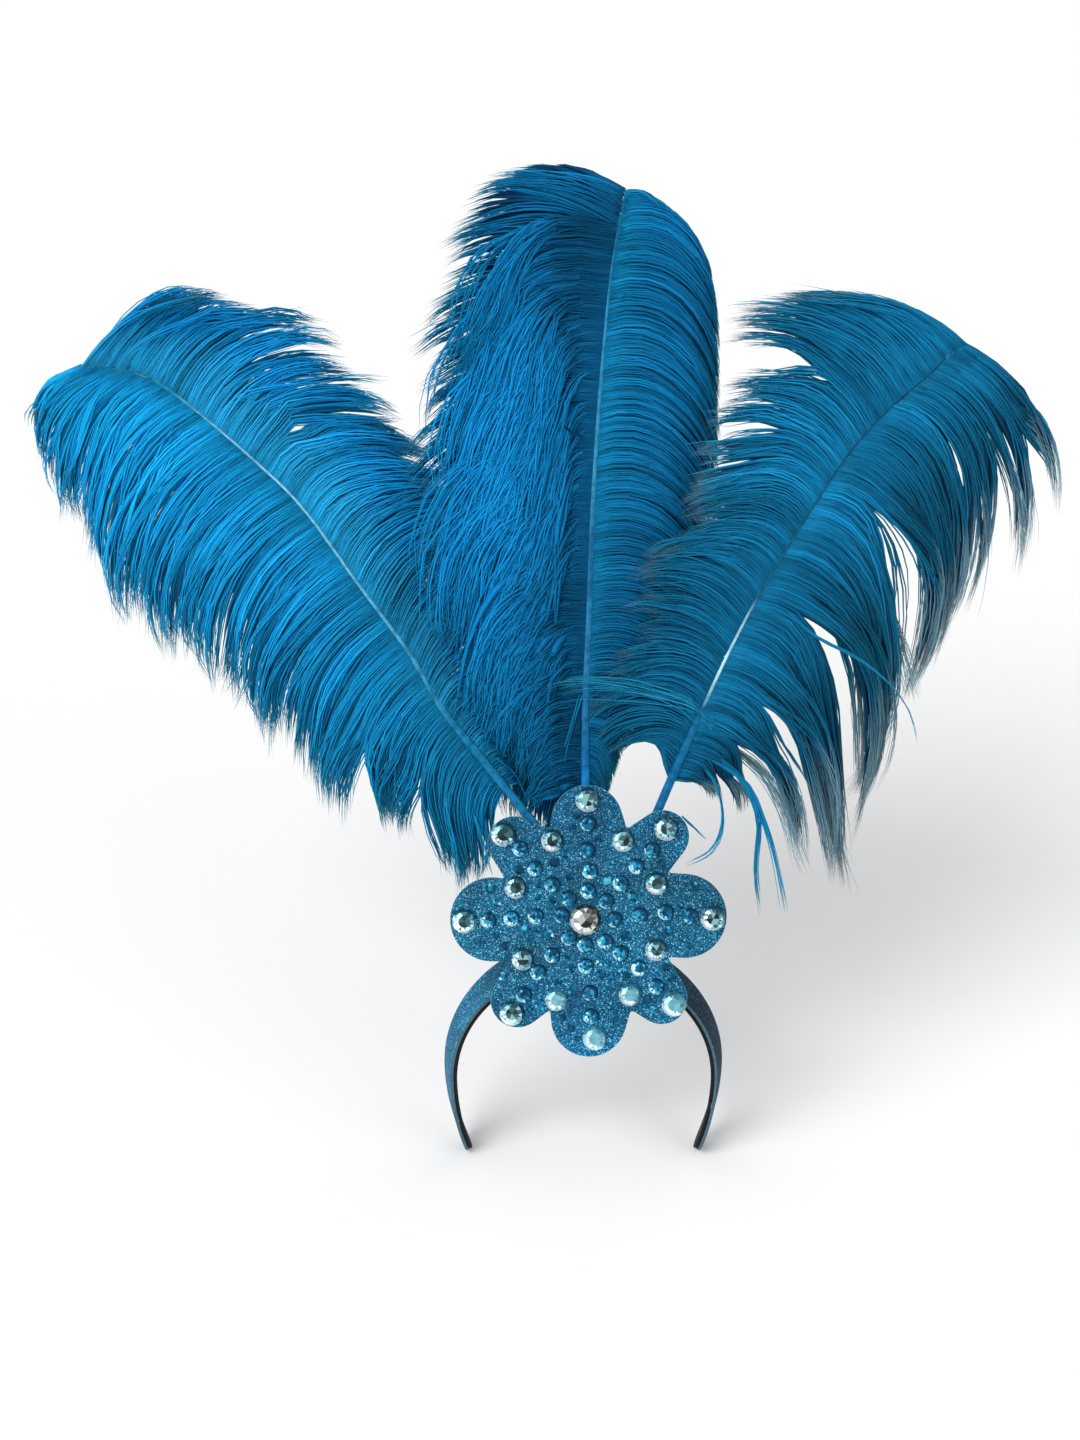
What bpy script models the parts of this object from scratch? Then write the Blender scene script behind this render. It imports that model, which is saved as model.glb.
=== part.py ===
# Showgirl headdress: a foam-covered headband, an eight-petal flower plaque set with rhinestones,
# and three dyed ostrich plumes fanned out behind the plaque.
#
# Metres, +Z up. The front faces -Y, and +X is on the viewer's right. The origin is the middle of
# the headband's crown, on the side that sits on the head.
#
# The plaque and the plumes share a leaning frame, held by an empty at the plaque's centre. In that
# frame a place is given by side (to the right), up (along the plaque) and forward (off its face).

import math

import bmesh
import bpy
import numpy as np
from mathutils import Matrix, Vector

# Room left between pieces that touch
GAP = 0.0003
MM = 0.001

# Headband, an arch in the XZ plane. Its outer side is half an ellipse above its widest point, and
# below that two legs that curl in a little.
BAND_HALF_SPAN = 0.0825
BAND_CROWN_RISE = 0.0875
BAND_LEG_DROP = 0.0574
BAND_LEG_CURVE = 0.1186
BAND_CROWN_WIDTH = 0.032
BAND_TIP_WIDTH = 0.021
# The sides turn, front edge inwards, so that they lie flat when it is worn
BAND_TWIST = math.radians(12)
TWIST_START = 0.25
TWIST_END = 0.85
CORE_THICKNESS = 0.002
COVER_THICKNESS = 0.002
COVER_OVERHANG = 0.0006
BAND_EDGE_CHAMFER = 0.0005
BAND_SECTIONS = 72
TIP_SECTIONS = 6
BAND_THICKNESS = CORE_THICKNESS + GAP + COVER_THICKNESS

# Flower plaque, one foam sheet. It leans back, and the crown's front edge touches its back.
PLAQUE_LEAN = math.radians(27)
CROWN_BELOW_CENTRE = 0.0262
PLAQUE_THICKNESS = 0.0025
PLAQUE_EDGE_CHAMFER = 0.0004
ARC_STEP = math.radians(15)

# Petals, clockwise from the top: the bearing in degrees, then how far the petal reaches from the
# plaque's centre and the radius of its round end, in millimetres
PETALS = (
    (1, 78.1, 20.6),
    (43, 81.2, 15.1),
    (88, 82.1, 24.4),
    (136, 78.6, 15.1),
    (178, 79.7, 22.0),
    (220, 77.0, 15.7),
    (270, 78.6, 24.4),
    (317, 76.2, 15.4),
)
# The notches between them, which start before the top petal: the bearing in degrees, and the
# notch's distance from the centre in millimetres
NOTCHES = (
    (-21.4, 56.4),
    (24.6, 57.8),
    (60.5, 55.0),
    (114.4, 52.5),
    (153.3, 58.7),
    (201.4, 56.3),
    (240.9, 49.4),
    (296.8, 52.3),
)

# Rhinestones: flat-backed, with a flat table on a ring of facets. Diameters in metres.
CENTRE_STONE = 0.018
TIP_STONE = 0.0145
NOTCH_STONE = 0.0132
ROW_STONE = 0.0095
STONE_HEIGHT_SHARE = 0.3
STONE_TABLE_SHARE = 0.55
STONE_GIRDLE_SHARE = 0.22
STONE_SIDES = 12
RING_HEIGHT = 0.0007
RING_HALF_WIDTH = 0.0012

# Where the stones sit, as (side, up) in millimetres. For each petal: the clear stone at its tip, the
# clear one in the notch that follows it clockwise, and its blue row from the tip inwards.
STONES = {
    "top": (
        (1.3, 69.5), (22.0, 45.8),
        ((1.6, 55.9), (0.9, 40.4), (2.6, 28.2), (1.5, 16.8)),
    ),
    "upper_right": (
        (46.9, 52.9), (41.4, 20.9),
        ((38.8, 40.5), (29.6, 31.0), (20.5, 21.2), (12.2, 10.9)),
    ),
    "right": (
        (73.8, 0.8), (41.2, -17.5),
        ((61.3, 2.0), (46.5, 4.4), (31.7, 2.6), (16.9, 0.2)),
    ),
    "lower_right": (
        (51.2, -49.0), (25.8, -43.6),
        ((41.2, -38.8), (31.1, -28.2), (20.5, -19.3), (11.6, -12.8)),
    ),
    "bottom": (
        (5.5, -68.7), (-16.8, -46.5),
        ((3.3, -56.0), (2.7, -42.4), (0.3, -26.9), (-0.3, -14.4)),
    ),
    "lower_left": (
        (-42.6, -54.2), (-36.3, -22.9),
        ((-35.7, -43.6), (-27.4, -30.5), (-19.2, -20.5), (-9.7, -10.4)),
    ),
    "left": (
        (-70.1, -0.9), (-40.5, 18.6),
        ((-56.4, -0.3), (-42.9, 0.8), (-28.7, 2.0), (-13.9, 2.6)),
    ),
    "upper_left": (
        (-47.6, 49.4), (-19.2, 45.8),
        ((-37.8, 41.2), (-29.2, 29.8), (-19.2, 20.4), (-9.7, 12.1)),
    ),
}

# Plumes, root first. Each row is a section at a place on the shaft: the shaft's side, up and forward,
# then the barbs' reach and bearing on its left, and their reach and bearing on its right, as seen
# with the root below. Lengths are in millimetres, and bearings in degrees off the shaft's direction.
# The last row is the tuft past the shaft's end.
PLUMES = {
    "left": (
        (-61, 94, -10, 62, 126, 14, 112),
        (-86, 125, -20, 81, 131, 36, 96),
        (-102, 153, -27, 98, 124, 54, 92),
        (-134, 196, -34, 96, 113, 68, 103),
        (-167, 241, -38, 113, 112, 80, 119),
        (-195, 269, -38, 110, 100, 91, 122),
        (-235, 303, -32, 112, 101, 97, 121),
        (-257, 318, -24, 88, 84, 79, 117),
        (-274, 322, -15, 68, 59, 59, 119),
        (-287, 322, -7, 41, 40, 35, 120),
        (-293, 321, -3, 20, 55, 14, 115),
    ),
    "centre": (
        (0, 90, -5.6, 27, 96, 19, 91),
        (0, 127, -6, 64, 91, 39, 80),
        (2, 174, -8, 84, 92, 60, 82),
        (4, 233, -9, 96, 92, 71, 87),
        (7, 285, -8, 99, 86, 72, 85),
        (11, 337, -5, 98, 87, 68, 84),
        (15, 377, 1, 97, 89, 58, 79),
        (19, 401, 8, 88, 88, 42, 80),
        (21, 413, 13, 62, 80, 22, 71),
        (22, 419, 16, 26, 80, 9, 70),
    ),
    "right": (
        (50, 81, -5.6, 11, 82, 18, 87),
        (68, 123, 2, 38, 97, 112, 138),
        (82, 154, 6, 59, 108, 122, 134),
        (98, 185, 9, 68, 109, 157, 135),
        (112, 208, 11, 66, 107, 157, 132),
        (133, 242, 13, 75, 109, 143, 131),
        (152, 270, 15, 87, 111, 137, 124),
        (176, 296, 17, 103, 116, 121, 114),
        (194, 311, 22, 104, 112, 115, 106),
        (206, 323, 28, 67, 109, 96, 89),
        (214, 328, 32, 27, 110, 39, 60),
    ),
}
# Length of bare quill between the first barbs and the root, which the plaque hides
QUILL_LENGTHS = {"left": 0.080, "centre": 0.065, "right": 0.075}
SHAFT_ROOT_RADIUS = 0.0026
SHAFT_TIP_RADIUS = 0.0005
VANE_MIDDLE_THICKNESS = 0.007
VANE_EDGE_THICKNESS = 0.0025
VANE_ARCH = 0.007
# How far back hanging barbs fall behind the shaft, as a share of how far they drop below it
HANG_BACK = 0.3
PLUME_SECTIONS = 24
VANE_COLUMNS = (-1.0, -0.72, -0.4, -0.12, 0.0, 0.12, 0.4, 0.72, 1.0)

# Foam pad behind the plaque, which the quills lie in and which stands on the crown
PAD_HALF_WIDTH = 0.038
PAD_TOP = 0.044
PAD_THICKNESS = 0.009
PAD_WEDGE_TOP = 0.012
PAD_FOOT_REAR = 0.011
PAD_DEPTH_BELOW = 0.015
PAD_ROUNDING = 0.003


def clear_scene():
    for obj in list(bpy.data.objects):
        bpy.data.objects.remove(obj, do_unlink=True)


def material(name, color, roughness, metallic=0.0):
    made = bpy.data.materials.new(name)
    made.use_nodes = True
    shader = made.node_tree.nodes["Principled BSDF"]
    shader.inputs["Base Color"].default_value = (*color, 1.0)
    shader.inputs["Roughness"].default_value = roughness
    shader.inputs["Metallic"].default_value = metallic
    return made


def black_lining():
    return material("black_lining", (0.012, 0.012, 0.014), 0.55)


def glitter_foam():
    return material("glitter_foam", (0.02, 0.15, 0.27), 0.45, 0.3)


def clear_foil():
    return material("clear_foil", (0.62, 0.8, 0.82), 0.08, 0.85)


def blue_foil():
    return material("blue_foil", (0.01, 0.16, 0.42), 0.08, 0.85)


def dyed_shaft():
    return material("dyed_shaft", (0.02, 0.17, 0.34), 0.35)


def dyed_barbs():
    return material("dyed_barbs", (0.004, 0.13, 0.36), 0.8)


def backing_foam():
    return material("backing_foam", (0.02, 0.02, 0.022), 0.8)


def add_object(name, data, finish, parent=None):
    data.materials.append(finish)
    obj = bpy.data.objects.new(name, data)
    bpy.context.scene.collection.objects.link(obj)
    obj.parent = parent
    return obj


def mesh_from(name, bm):
    bmesh.ops.recalc_face_normals(bm, faces=bm.faces)
    mesh = bpy.data.meshes.new(name)
    bm.to_mesh(mesh)
    bm.free()
    return mesh


def loft(rings):
    """A closed body through rings of points, each with as many points as the next."""
    bm = bmesh.new()
    made = [[bm.verts.new(point) for point in ring] for ring in rings]
    count = len(made[0])
    for ring, following in zip(made, made[1:]):
        for i in range(count):
            after = (i + 1) % count
            bm.faces.new((ring[i], ring[after], following[after], following[i]))
    bm.faces.new(made[0])
    bm.faces.new(made[-1])
    return bm


def shade_round(mesh, sharp_degrees=35):
    mesh.shade_smooth()
    mesh.set_sharp_from_angle(angle=math.radians(sharp_degrees))


# Headband

def arch_outline():
    """(x, z) along the arch's outer side, finely, from the left tip over the crown to the right."""
    turn = np.linspace(0.0, math.pi / 2, 200)
    drop = np.linspace(0.0, BAND_LEG_DROP, 120)[1:]
    x = np.concatenate([np.sin(turn), np.sqrt(1 - (drop / BAND_LEG_CURVE) ** 2)]) * BAND_HALF_SPAN
    z = np.concatenate([np.cos(turn) * BAND_CROWN_RISE, -drop])
    z += BAND_THICKNESS - BAND_CROWN_RISE
    right = np.stack([x, z], axis=1)
    left = right[:0:-1] * (-1, 1)
    return np.concatenate([left, right])


def arch_stations():
    """Places along the arch: (point, outward normal, half width, twist). They crowd at the tips."""
    outline = arch_outline()
    along = np.concatenate([[0], np.cumsum(np.linalg.norm(np.diff(outline, axis=0), axis=1))])
    length = along[-1]
    slope = np.gradient(outline, along, axis=0)
    tip = BAND_TIP_WIDTH / 2
    rounding = tip * (1 - np.cos(np.linspace(0.12, math.pi / 2, TIP_SECTIONS)))
    middle = np.linspace(tip, length - tip, BAND_SECTIONS)[1:-1]
    places = np.concatenate([rounding, middle, length - rounding[::-1]])
    stations = []
    for place in places:
        point = np.array([np.interp(place, along, outline[:, k]) for k in (0, 1)])
        direction = np.array([np.interp(place, along, slope[:, k]) for k in (0, 1)])
        normal = np.array([-direction[1], direction[0]]) / np.linalg.norm(direction)
        from_crown = abs(place - length / 2) / (length / 2)
        half = (BAND_CROWN_WIDTH + (BAND_TIP_WIDTH - BAND_CROWN_WIDTH) * from_crown**2) / 2
        from_end = min(place, length - place)
        if from_end < tip:
            half = tip * math.sqrt(1 - (1 - from_end / tip) ** 2)
        turned = min(max((from_crown - TWIST_START) / (TWIST_END - TWIST_START), 0), 1)
        twist = BAND_TWIST * turned**2 * (3 - 2 * turned)
        stations.append((point, normal, half, twist))
    return stations


def band_strip(name, outer_inset, thickness, narrower, finish):
    """One layer of the headband. outer_inset is how far its outer side lies inside the arch's."""
    cut = BAND_EDGE_CHAMFER
    rings = []
    for point, normal, half, twist in arch_stations():
        half -= narrower
        corners = (
            (-half + cut, 0),
            (half - cut, 0),
            (half, cut),
            (half, thickness - cut),
            (half - cut, thickness),
            (-half + cut, thickness),
            (-half, thickness - cut),
            (-half, cut),
        )
        ring = []
        for across, inward in corners:
            depth = outer_inset + inward
            x, z = point - normal * (depth * math.cos(twist) - across * math.sin(twist))
            ring.append((x, across * math.cos(twist) + depth * math.sin(twist), z))
        rings.append(ring)
    mesh = mesh_from(name, loft(rings))
    shade_round(mesh)
    add_object(name, mesh, finish)


def headband():
    band_strip("headband_cover", 0.0, COVER_THICKNESS, 0.0, glitter_foam())
    band_strip("headband_core", COVER_THICKNESS + GAP, CORE_THICKNESS, COVER_OVERHANG, black_lining())


# Leaning frame

def plaque_centre():
    """The middle of the plaque's face: the crown's front edge touches its back, below the centre."""
    up = Vector((0, math.sin(PLAQUE_LEAN), math.cos(PLAQUE_LEAN)))
    forward = Vector((0, -math.cos(PLAQUE_LEAN), math.sin(PLAQUE_LEAN)))
    front_edge = Vector((0, -BAND_CROWN_WIDTH / 2, BAND_THICKNESS))
    return front_edge + up * CROWN_BELOW_CENTRE + forward * (PLAQUE_THICKNESS + GAP)


def leaning_frame():
    frame = bpy.data.objects.new("plaque_frame", None)
    bpy.context.scene.collection.objects.link(frame)
    frame.location = plaque_centre()
    frame.rotation_euler = (math.pi / 2 - PLAQUE_LEAN, 0, 0)
    return frame


def leaning_place(y, z):
    """(up, forward) in the leaning frame of a place in the arch's middle plane."""
    centre = plaque_centre()
    back, height = y - centre.y, z - centre.z
    return (
        back * math.sin(PLAQUE_LEAN) + height * math.cos(PLAQUE_LEAN),
        -back * math.cos(PLAQUE_LEAN) + height * math.sin(PLAQUE_LEAN),
    )


# Flower plaque

def by_bearing(bearing, distance):
    """(side, up) of a place at this distance from the centre, clockwise from the top, in degrees."""
    turn = math.radians(bearing)
    return np.array([math.sin(turn), math.cos(turn)]) * distance


def touch_angle(outside, centre, radius, clockwise):
    """The angle on a circle where a line from a point outside touches it."""
    away = outside - centre
    spread = math.acos(radius / np.linalg.norm(away))
    return math.atan2(away[1], away[0]) + (spread if clockwise else -spread)


def petal_arc(before, after, bearing, reach, end_radius):
    """The round end of a petal, between the lines that come up from the notches on its two sides."""
    centre = by_bearing(bearing, reach - end_radius)
    first = touch_angle(before, centre, end_radius, False)
    last = touch_angle(after, centre, end_radius, True)
    sweep = (first - last) % math.tau
    steps = max(4, round(sweep / ARC_STEP))
    angles = [first - sweep * k / steps for k in range(steps + 1)]
    return [centre + end_radius * np.array([math.cos(a), math.sin(a)]) for a in angles]


def plaque_outline():
    notches = [by_bearing(bearing, depth) for bearing, depth in NOTCHES]
    points = []
    for k, (bearing, reach, end_radius) in enumerate(PETALS):
        before, after = notches[k], notches[(k + 1) % len(notches)]
        points.append(before)
        points += petal_arc(before, after, bearing, reach, end_radius)
    return np.array(points) * MM


def flower_plaque(frame):
    outline = plaque_outline()
    bm = bmesh.new()
    back = bm.faces.new([bm.verts.new((x, y, -PLAQUE_THICKNESS)) for x, y in outline])
    made = bmesh.ops.extrude_face_region(bm, geom=[back])
    front = [v for v in made["geom"] if isinstance(v, bmesh.types.BMVert)]
    bmesh.ops.translate(bm, verts=front, vec=(0, 0, PLAQUE_THICKNESS))
    rims = [e for e in bm.edges if abs(e.verts[0].co.z - e.verts[1].co.z) < PLAQUE_THICKNESS / 2]
    bmesh.ops.bevel(bm, geom=rims, offset=PLAQUE_EDGE_CHAMFER, segments=1, affect="EDGES")
    mesh = mesh_from("flower_plaque", bm)
    shade_round(mesh)
    add_object("flower_plaque", mesh, glitter_foam(), frame)


# Rhinestones

def stone_rings(diameter, lift=0.0):
    """The base, the girdle's two edges and the table. The table has half as many corners."""
    radius = diameter / 2
    height = diameter * STONE_HEIGHT_SHARE
    girdle = height * STONE_GIRDLE_SHARE
    shape = (
        (radius * 0.94, 0.0, STONE_SIDES),
        (radius, girdle, STONE_SIDES),
        (radius * STONE_TABLE_SHARE, height, STONE_SIDES // 2),
    )
    rings = []
    for reach, level, sides in shape:
        turns = [math.tau * k / sides for k in range(sides)]
        rings.append([(reach * math.cos(t), reach * math.sin(t), level + lift) for t in turns])
    return rings


def add_stone(bm, diameter, place=(0.0, 0.0), lift=0.0):
    """A stone's faces: a flat back, a short wall, and two triangles and a kite for each table corner."""
    rings = [
        [bm.verts.new((x + place[0], y + place[1], z)) for x, y, z in ring]
        for ring in stone_rings(diameter, lift)
    ]
    base, girdle, table = rings
    for i in range(STONE_SIDES):
        after = (i + 1) % STONE_SIDES
        bm.faces.new((base[i], base[after], girdle[after], girdle[i]))
        corner = table[(i // 2 + i % 2) % len(table)]
        bm.faces.new((girdle[i], girdle[after], corner))
    for k in range(len(table)):
        following = table[(k + 1) % len(table)]
        bm.faces.new((table[k], girdle[2 * k + 1], following))
    bm.faces.new(base[::-1])
    bm.faces.new(table)


def stone_mesh(name, diameter):
    bm = bmesh.new()
    add_stone(bm, diameter)
    return mesh_from(name, bm)


def place_stone(name, mesh, frame, place):
    obj = bpy.data.objects.new(name, mesh)
    bpy.context.scene.collection.objects.link(obj)
    obj.parent = frame
    obj.location = (place[0] * MM, place[1] * MM, GAP)


def stones(frame):
    clear, blue = clear_foil(), blue_foil()
    sizes = {
        "centre": (CENTRE_STONE, clear),
        "tip": (TIP_STONE, clear),
        "notch": (NOTCH_STONE, clear),
        "row": (ROW_STONE, blue),
    }
    meshes = {}
    for kind, (diameter, finish) in sizes.items():
        meshes[kind] = stone_mesh(kind + "_stone", diameter)
        meshes[kind].materials.append(finish)
    place_stone("centre_stone", meshes["centre"], frame, (0.0, 0.0))
    for petal, (tip, notch, row) in STONES.items():
        place_stone("tip_stone_" + petal, meshes["tip"], frame, tip)
        place_stone("notch_stone_" + petal, meshes["notch"], frame, notch)
        for number, place in enumerate(row[:-1], start=1):
            place_stone(f"row_stone_{petal}_{number}", meshes["row"], frame, place)
    return blue


def flat_ring(places):
    """A thin closed ring through these places, which joins the stones that stand on it."""
    bm = bmesh.new()
    outer, inner = [], []
    for x, y in places:
        out = Vector((x, y)).normalized() * RING_HALF_WIDTH
        outer.append((x + out.x, y + out.y))
        inner.append((x - out.x, y - out.y))
    levels = (0.0, RING_HEIGHT)
    verts = {
        (line, level): [bm.verts.new((x, y, level)) for x, y in points]
        for line, points in (("outer", outer), ("inner", inner))
        for level in levels
    }
    low, high = levels
    loops = (("outer", low), ("outer", high), ("inner", high), ("inner", low))
    for first, second in zip(loops, loops[1:] + loops[:1]):
        for i in range(len(places)):
            after = (i + 1) % len(places)
            bm.faces.new((verts[first][i], verts[first][after], verts[second][after], verts[second][i]))
    return mesh_from("stone_ring", bm)


def centre_ring(frame, finish):
    """The innermost stone of each row, joined round the centre stone by a thin ring of glue."""
    places = [(row[-1][0] * MM, row[-1][1] * MM) for _, _, row in STONES.values()]
    ring = add_object("centre_ring", flat_ring(places), finish, frame)
    ring.location = (0, 0, GAP)
    for number, place in enumerate(places):
        helper = add_object(f"ring_stone_{number}", stone_mesh("ring_stone", ROW_STONE), finish, frame)
        helper.location = (*place, GAP)
        helper.hide_render = True
        helper.display_type = "WIRE"
        join = ring.modifiers.new(f"stone_{number}", "BOOLEAN")
        join.operation = "UNION"
        join.object = helper


# Plumes

def smooth_rows(rows, count):
    """The table's rows made into count rows, on a smooth curve through them."""
    table = np.array(rows, float)
    ends = np.concatenate([[2 * table[0] - table[1]], table, [2 * table[-1] - table[-2]]])
    steps = np.linalg.norm(np.diff(table[:, :3], axis=0), axis=1)
    along = np.concatenate([[0], np.cumsum(steps)])
    made = []
    for place in np.linspace(0, along[-1], count):
        k = min(int(np.searchsorted(along, place, side="right")) - 1, len(rows) - 2)
        t = (place - along[k]) / (along[k + 1] - along[k])
        before, here, after, beyond = ends[k : k + 4]
        made.append(
            here
            + 0.5 * t * (after - before)
            + t * t * (before - 2.5 * here + 2 * after - 0.5 * beyond)
            + t**3 * (1.5 * (here - after) + 0.5 * (beyond - before))
        )
    return np.array(made)


def shaft_radius(share):
    return SHAFT_ROOT_RADIUS + (SHAFT_TIP_RADIUS - SHAFT_ROOT_RADIUS) * share


def quill_root(plume):
    """The quill's hidden end: straight back from the first barbs, and flat against the plaque."""
    first, second = (np.array(row[:2]) * MM for row in PLUMES[plume][:2])
    back = (first - second) / np.linalg.norm(first - second)
    side, up = first + back * QUILL_LENGTHS[plume]
    return Vector((side, up, -PLAQUE_THICKNESS - GAP - SHAFT_ROOT_RADIUS))


def plume_shaft(plume, rows, frame, finish):
    """The quill and shaft, as one tapering tube. It ends one section short of the plume's tip."""
    points = [quill_root(plume)] + [Vector(row[:3] * MM) for row in rows[:-1]]
    curve = bpy.data.curves.new(f"plume_shaft_{plume}", "CURVE")
    curve.dimensions = "3D"
    curve.bevel_depth = 1.0
    curve.bevel_resolution = 2
    curve.use_fill_caps = True
    spline = curve.splines.new("POLY")
    spline.points.add(len(points) - 1)
    for k, point in enumerate(points):
        share = max(0, k - 1) / (len(rows) - 1)
        spline.points[k].co = (*point, 1)
        spline.points[k].radius = shaft_radius(share)
    spline.use_smooth = True
    add_object(f"plume_shaft_{plume}", curve, finish, frame)


def barb_ends(rows, reach_column, turn_sign):
    """(side, up) of the vane's edge at each row, off the shaft on its left (+1) or right (-1)."""
    course = rows[:, :2]
    tangent = np.gradient(course, axis=0)
    tangent /= np.linalg.norm(tangent, axis=1)[:, None]
    turn = np.radians(rows[:, reach_column + 1]) * turn_sign
    ahead = tangent * np.cos(turn)[:, None]
    aside = np.stack([-tangent[:, 1], tangent[:, 0]], axis=1) * np.sin(turn)[:, None]
    return course + (ahead + aside) * rows[:, reach_column, None]


def plume_vane(plume, rows, frame, finish):
    """The barbs' outer form: a thin arched body behind the shaft. It hangs back where it drops."""
    left = barb_ends(rows, 3, 1)
    right = barb_ends(rows, 5, -1)
    rings = []
    for k, row in enumerate(rows):
        seat = row[2] * MM - shaft_radius(k / (len(rows) - 1)) - GAP
        front, back = [], []
        for column in VANE_COLUMNS:
            edge = left[k] if column < 0 else right[k]
            x, y = (row[:2] + (edge - row[:2]) * abs(column)) * MM
            drop = max(0, row[1] - edge[1]) * MM
            level = seat - (VANE_ARCH + HANG_BACK * drop) * column**2
            bulge = (VANE_MIDDLE_THICKNESS - VANE_EDGE_THICKNESS) * (1 - column**2)
            front.append((x, y, level))
            back.append((x, y, level - VANE_EDGE_THICKNESS - bulge))
        rings.append(front + back[::-1])
    mesh = mesh_from(f"plume_vane_{plume}", loft(rings))
    shade_round(mesh)
    add_object(f"plume_vane_{plume}", mesh, finish, frame)


def plumes(frame):
    shaft_finish, barb_finish = dyed_shaft(), dyed_barbs()
    for plume, table in PLUMES.items():
        rows = smooth_rows(table, PLUME_SECTIONS)
        plume_shaft(plume, rows, frame, shaft_finish)
        plume_vane(plume, rows, frame, barb_finish)


# Backing pad

def cutter(name, mesh, parent=None):
    made = add_object(name, mesh, backing_foam(), parent)
    made.hide_render = True
    made.display_type = "WIRE"
    return made


def cut_away(obj, tool):
    modifier = obj.modifiers.new(tool.name, "BOOLEAN")
    modifier.operation = "DIFFERENCE"
    modifier.object = tool


def crown_cutter():
    """All that lies inside the arch's outer side, with room round it."""
    bm = bmesh.new()
    bmesh.ops.create_cone(
        bm, cap_ends=True, segments=96, radius1=1, radius2=1, depth=4 * BAND_CROWN_WIDTH,
        matrix=Matrix.Rotation(math.pi / 2, 4, "X"),
    )
    size = (BAND_HALF_SPAN + GAP, 1, BAND_CROWN_RISE + GAP)
    bmesh.ops.scale(bm, vec=size, verts=bm.verts)
    bmesh.ops.translate(bm, vec=(0, 0, BAND_THICKNESS - BAND_CROWN_RISE), verts=bm.verts)
    return cutter("crown_cutter", mesh_from("crown_cutter", bm))


def quill_cutter(plume, frame):
    """The channel that a quill lies in."""
    root = quill_root(plume)
    first = Vector([value * MM for value in PLUMES[plume][0][:3]])
    run = first - root
    bm = bmesh.new()
    bmesh.ops.create_cone(
        bm, cap_ends=True, segments=16, radius1=SHAFT_ROOT_RADIUS + GAP,
        radius2=SHAFT_ROOT_RADIUS + GAP, depth=run.length + 2 * GAP,
    )
    turned = run.to_track_quat("Z", "Y").to_matrix().to_4x4()
    bmesh.ops.transform(bm, matrix=Matrix.Translation((root + first) / 2) @ turned, verts=bm.verts)
    name = f"quill_cutter_{plume}"
    return cutter(name, mesh_from(name, bm), frame)


def backing_pad(frame):
    face = -PLAQUE_THICKNESS - GAP
    foot = leaning_place(PAD_FOOT_REAR, BAND_THICKNESS)
    below_rear = leaning_place(PAD_FOOT_REAR, -PAD_DEPTH_BELOW)
    below_up = below_rear[0] - (face - below_rear[1]) * math.tan(PLAQUE_LEAN)
    profile = (
        (PAD_TOP, face),
        (PAD_TOP, face - PAD_THICKNESS),
        (PAD_WEDGE_TOP, face - PAD_THICKNESS),
        foot,
        below_rear,
        (below_up, face),
    )
    rings = [[(side, up, forward) for up, forward in profile] for side in (-PAD_HALF_WIDTH, PAD_HALF_WIDTH)]
    pad = add_object("backing_pad", mesh_from("backing_pad", loft(rings)), backing_foam(), frame)
    rounding = pad.modifiers.new("rounding", "BEVEL")
    rounding.width = PAD_ROUNDING
    rounding.segments = 2
    cut_away(pad, crown_cutter())
    for plume in PLUMES:
        cut_away(pad, quill_cutter(plume, frame))


def main():
    clear_scene()
    headband()
    frame = leaning_frame()
    flower_plaque(frame)
    blue = stones(frame)
    centre_ring(frame, blue)
    plumes(frame)
    backing_pad(frame)


main()
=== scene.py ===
# Rhinestone headdress: a glittery foam flower set with stones on a covered headband, with three
# dyed ostrich plumes behind it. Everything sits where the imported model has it, in metres.
import math
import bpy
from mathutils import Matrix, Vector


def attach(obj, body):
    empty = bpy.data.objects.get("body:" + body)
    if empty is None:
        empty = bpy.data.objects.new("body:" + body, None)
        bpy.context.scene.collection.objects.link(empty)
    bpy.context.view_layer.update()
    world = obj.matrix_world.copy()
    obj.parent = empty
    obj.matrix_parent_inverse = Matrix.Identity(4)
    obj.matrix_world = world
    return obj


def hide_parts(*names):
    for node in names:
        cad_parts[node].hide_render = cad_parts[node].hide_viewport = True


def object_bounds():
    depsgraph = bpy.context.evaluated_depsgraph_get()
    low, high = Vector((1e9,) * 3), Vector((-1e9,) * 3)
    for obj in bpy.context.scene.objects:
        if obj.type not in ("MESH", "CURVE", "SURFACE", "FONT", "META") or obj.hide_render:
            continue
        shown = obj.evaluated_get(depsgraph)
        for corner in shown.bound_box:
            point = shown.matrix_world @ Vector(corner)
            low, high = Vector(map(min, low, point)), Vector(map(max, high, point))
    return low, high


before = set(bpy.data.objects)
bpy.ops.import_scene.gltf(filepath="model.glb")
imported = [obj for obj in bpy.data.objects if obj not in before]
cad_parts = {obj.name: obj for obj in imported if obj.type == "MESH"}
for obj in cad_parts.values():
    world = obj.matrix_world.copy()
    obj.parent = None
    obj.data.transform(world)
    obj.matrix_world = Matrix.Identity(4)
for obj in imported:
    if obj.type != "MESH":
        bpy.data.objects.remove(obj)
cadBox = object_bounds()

from types import SimpleNamespace

import bpy
import numpy as np
from mathutils import Vector

mm = 0.001
print("frame loaded")

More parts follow.
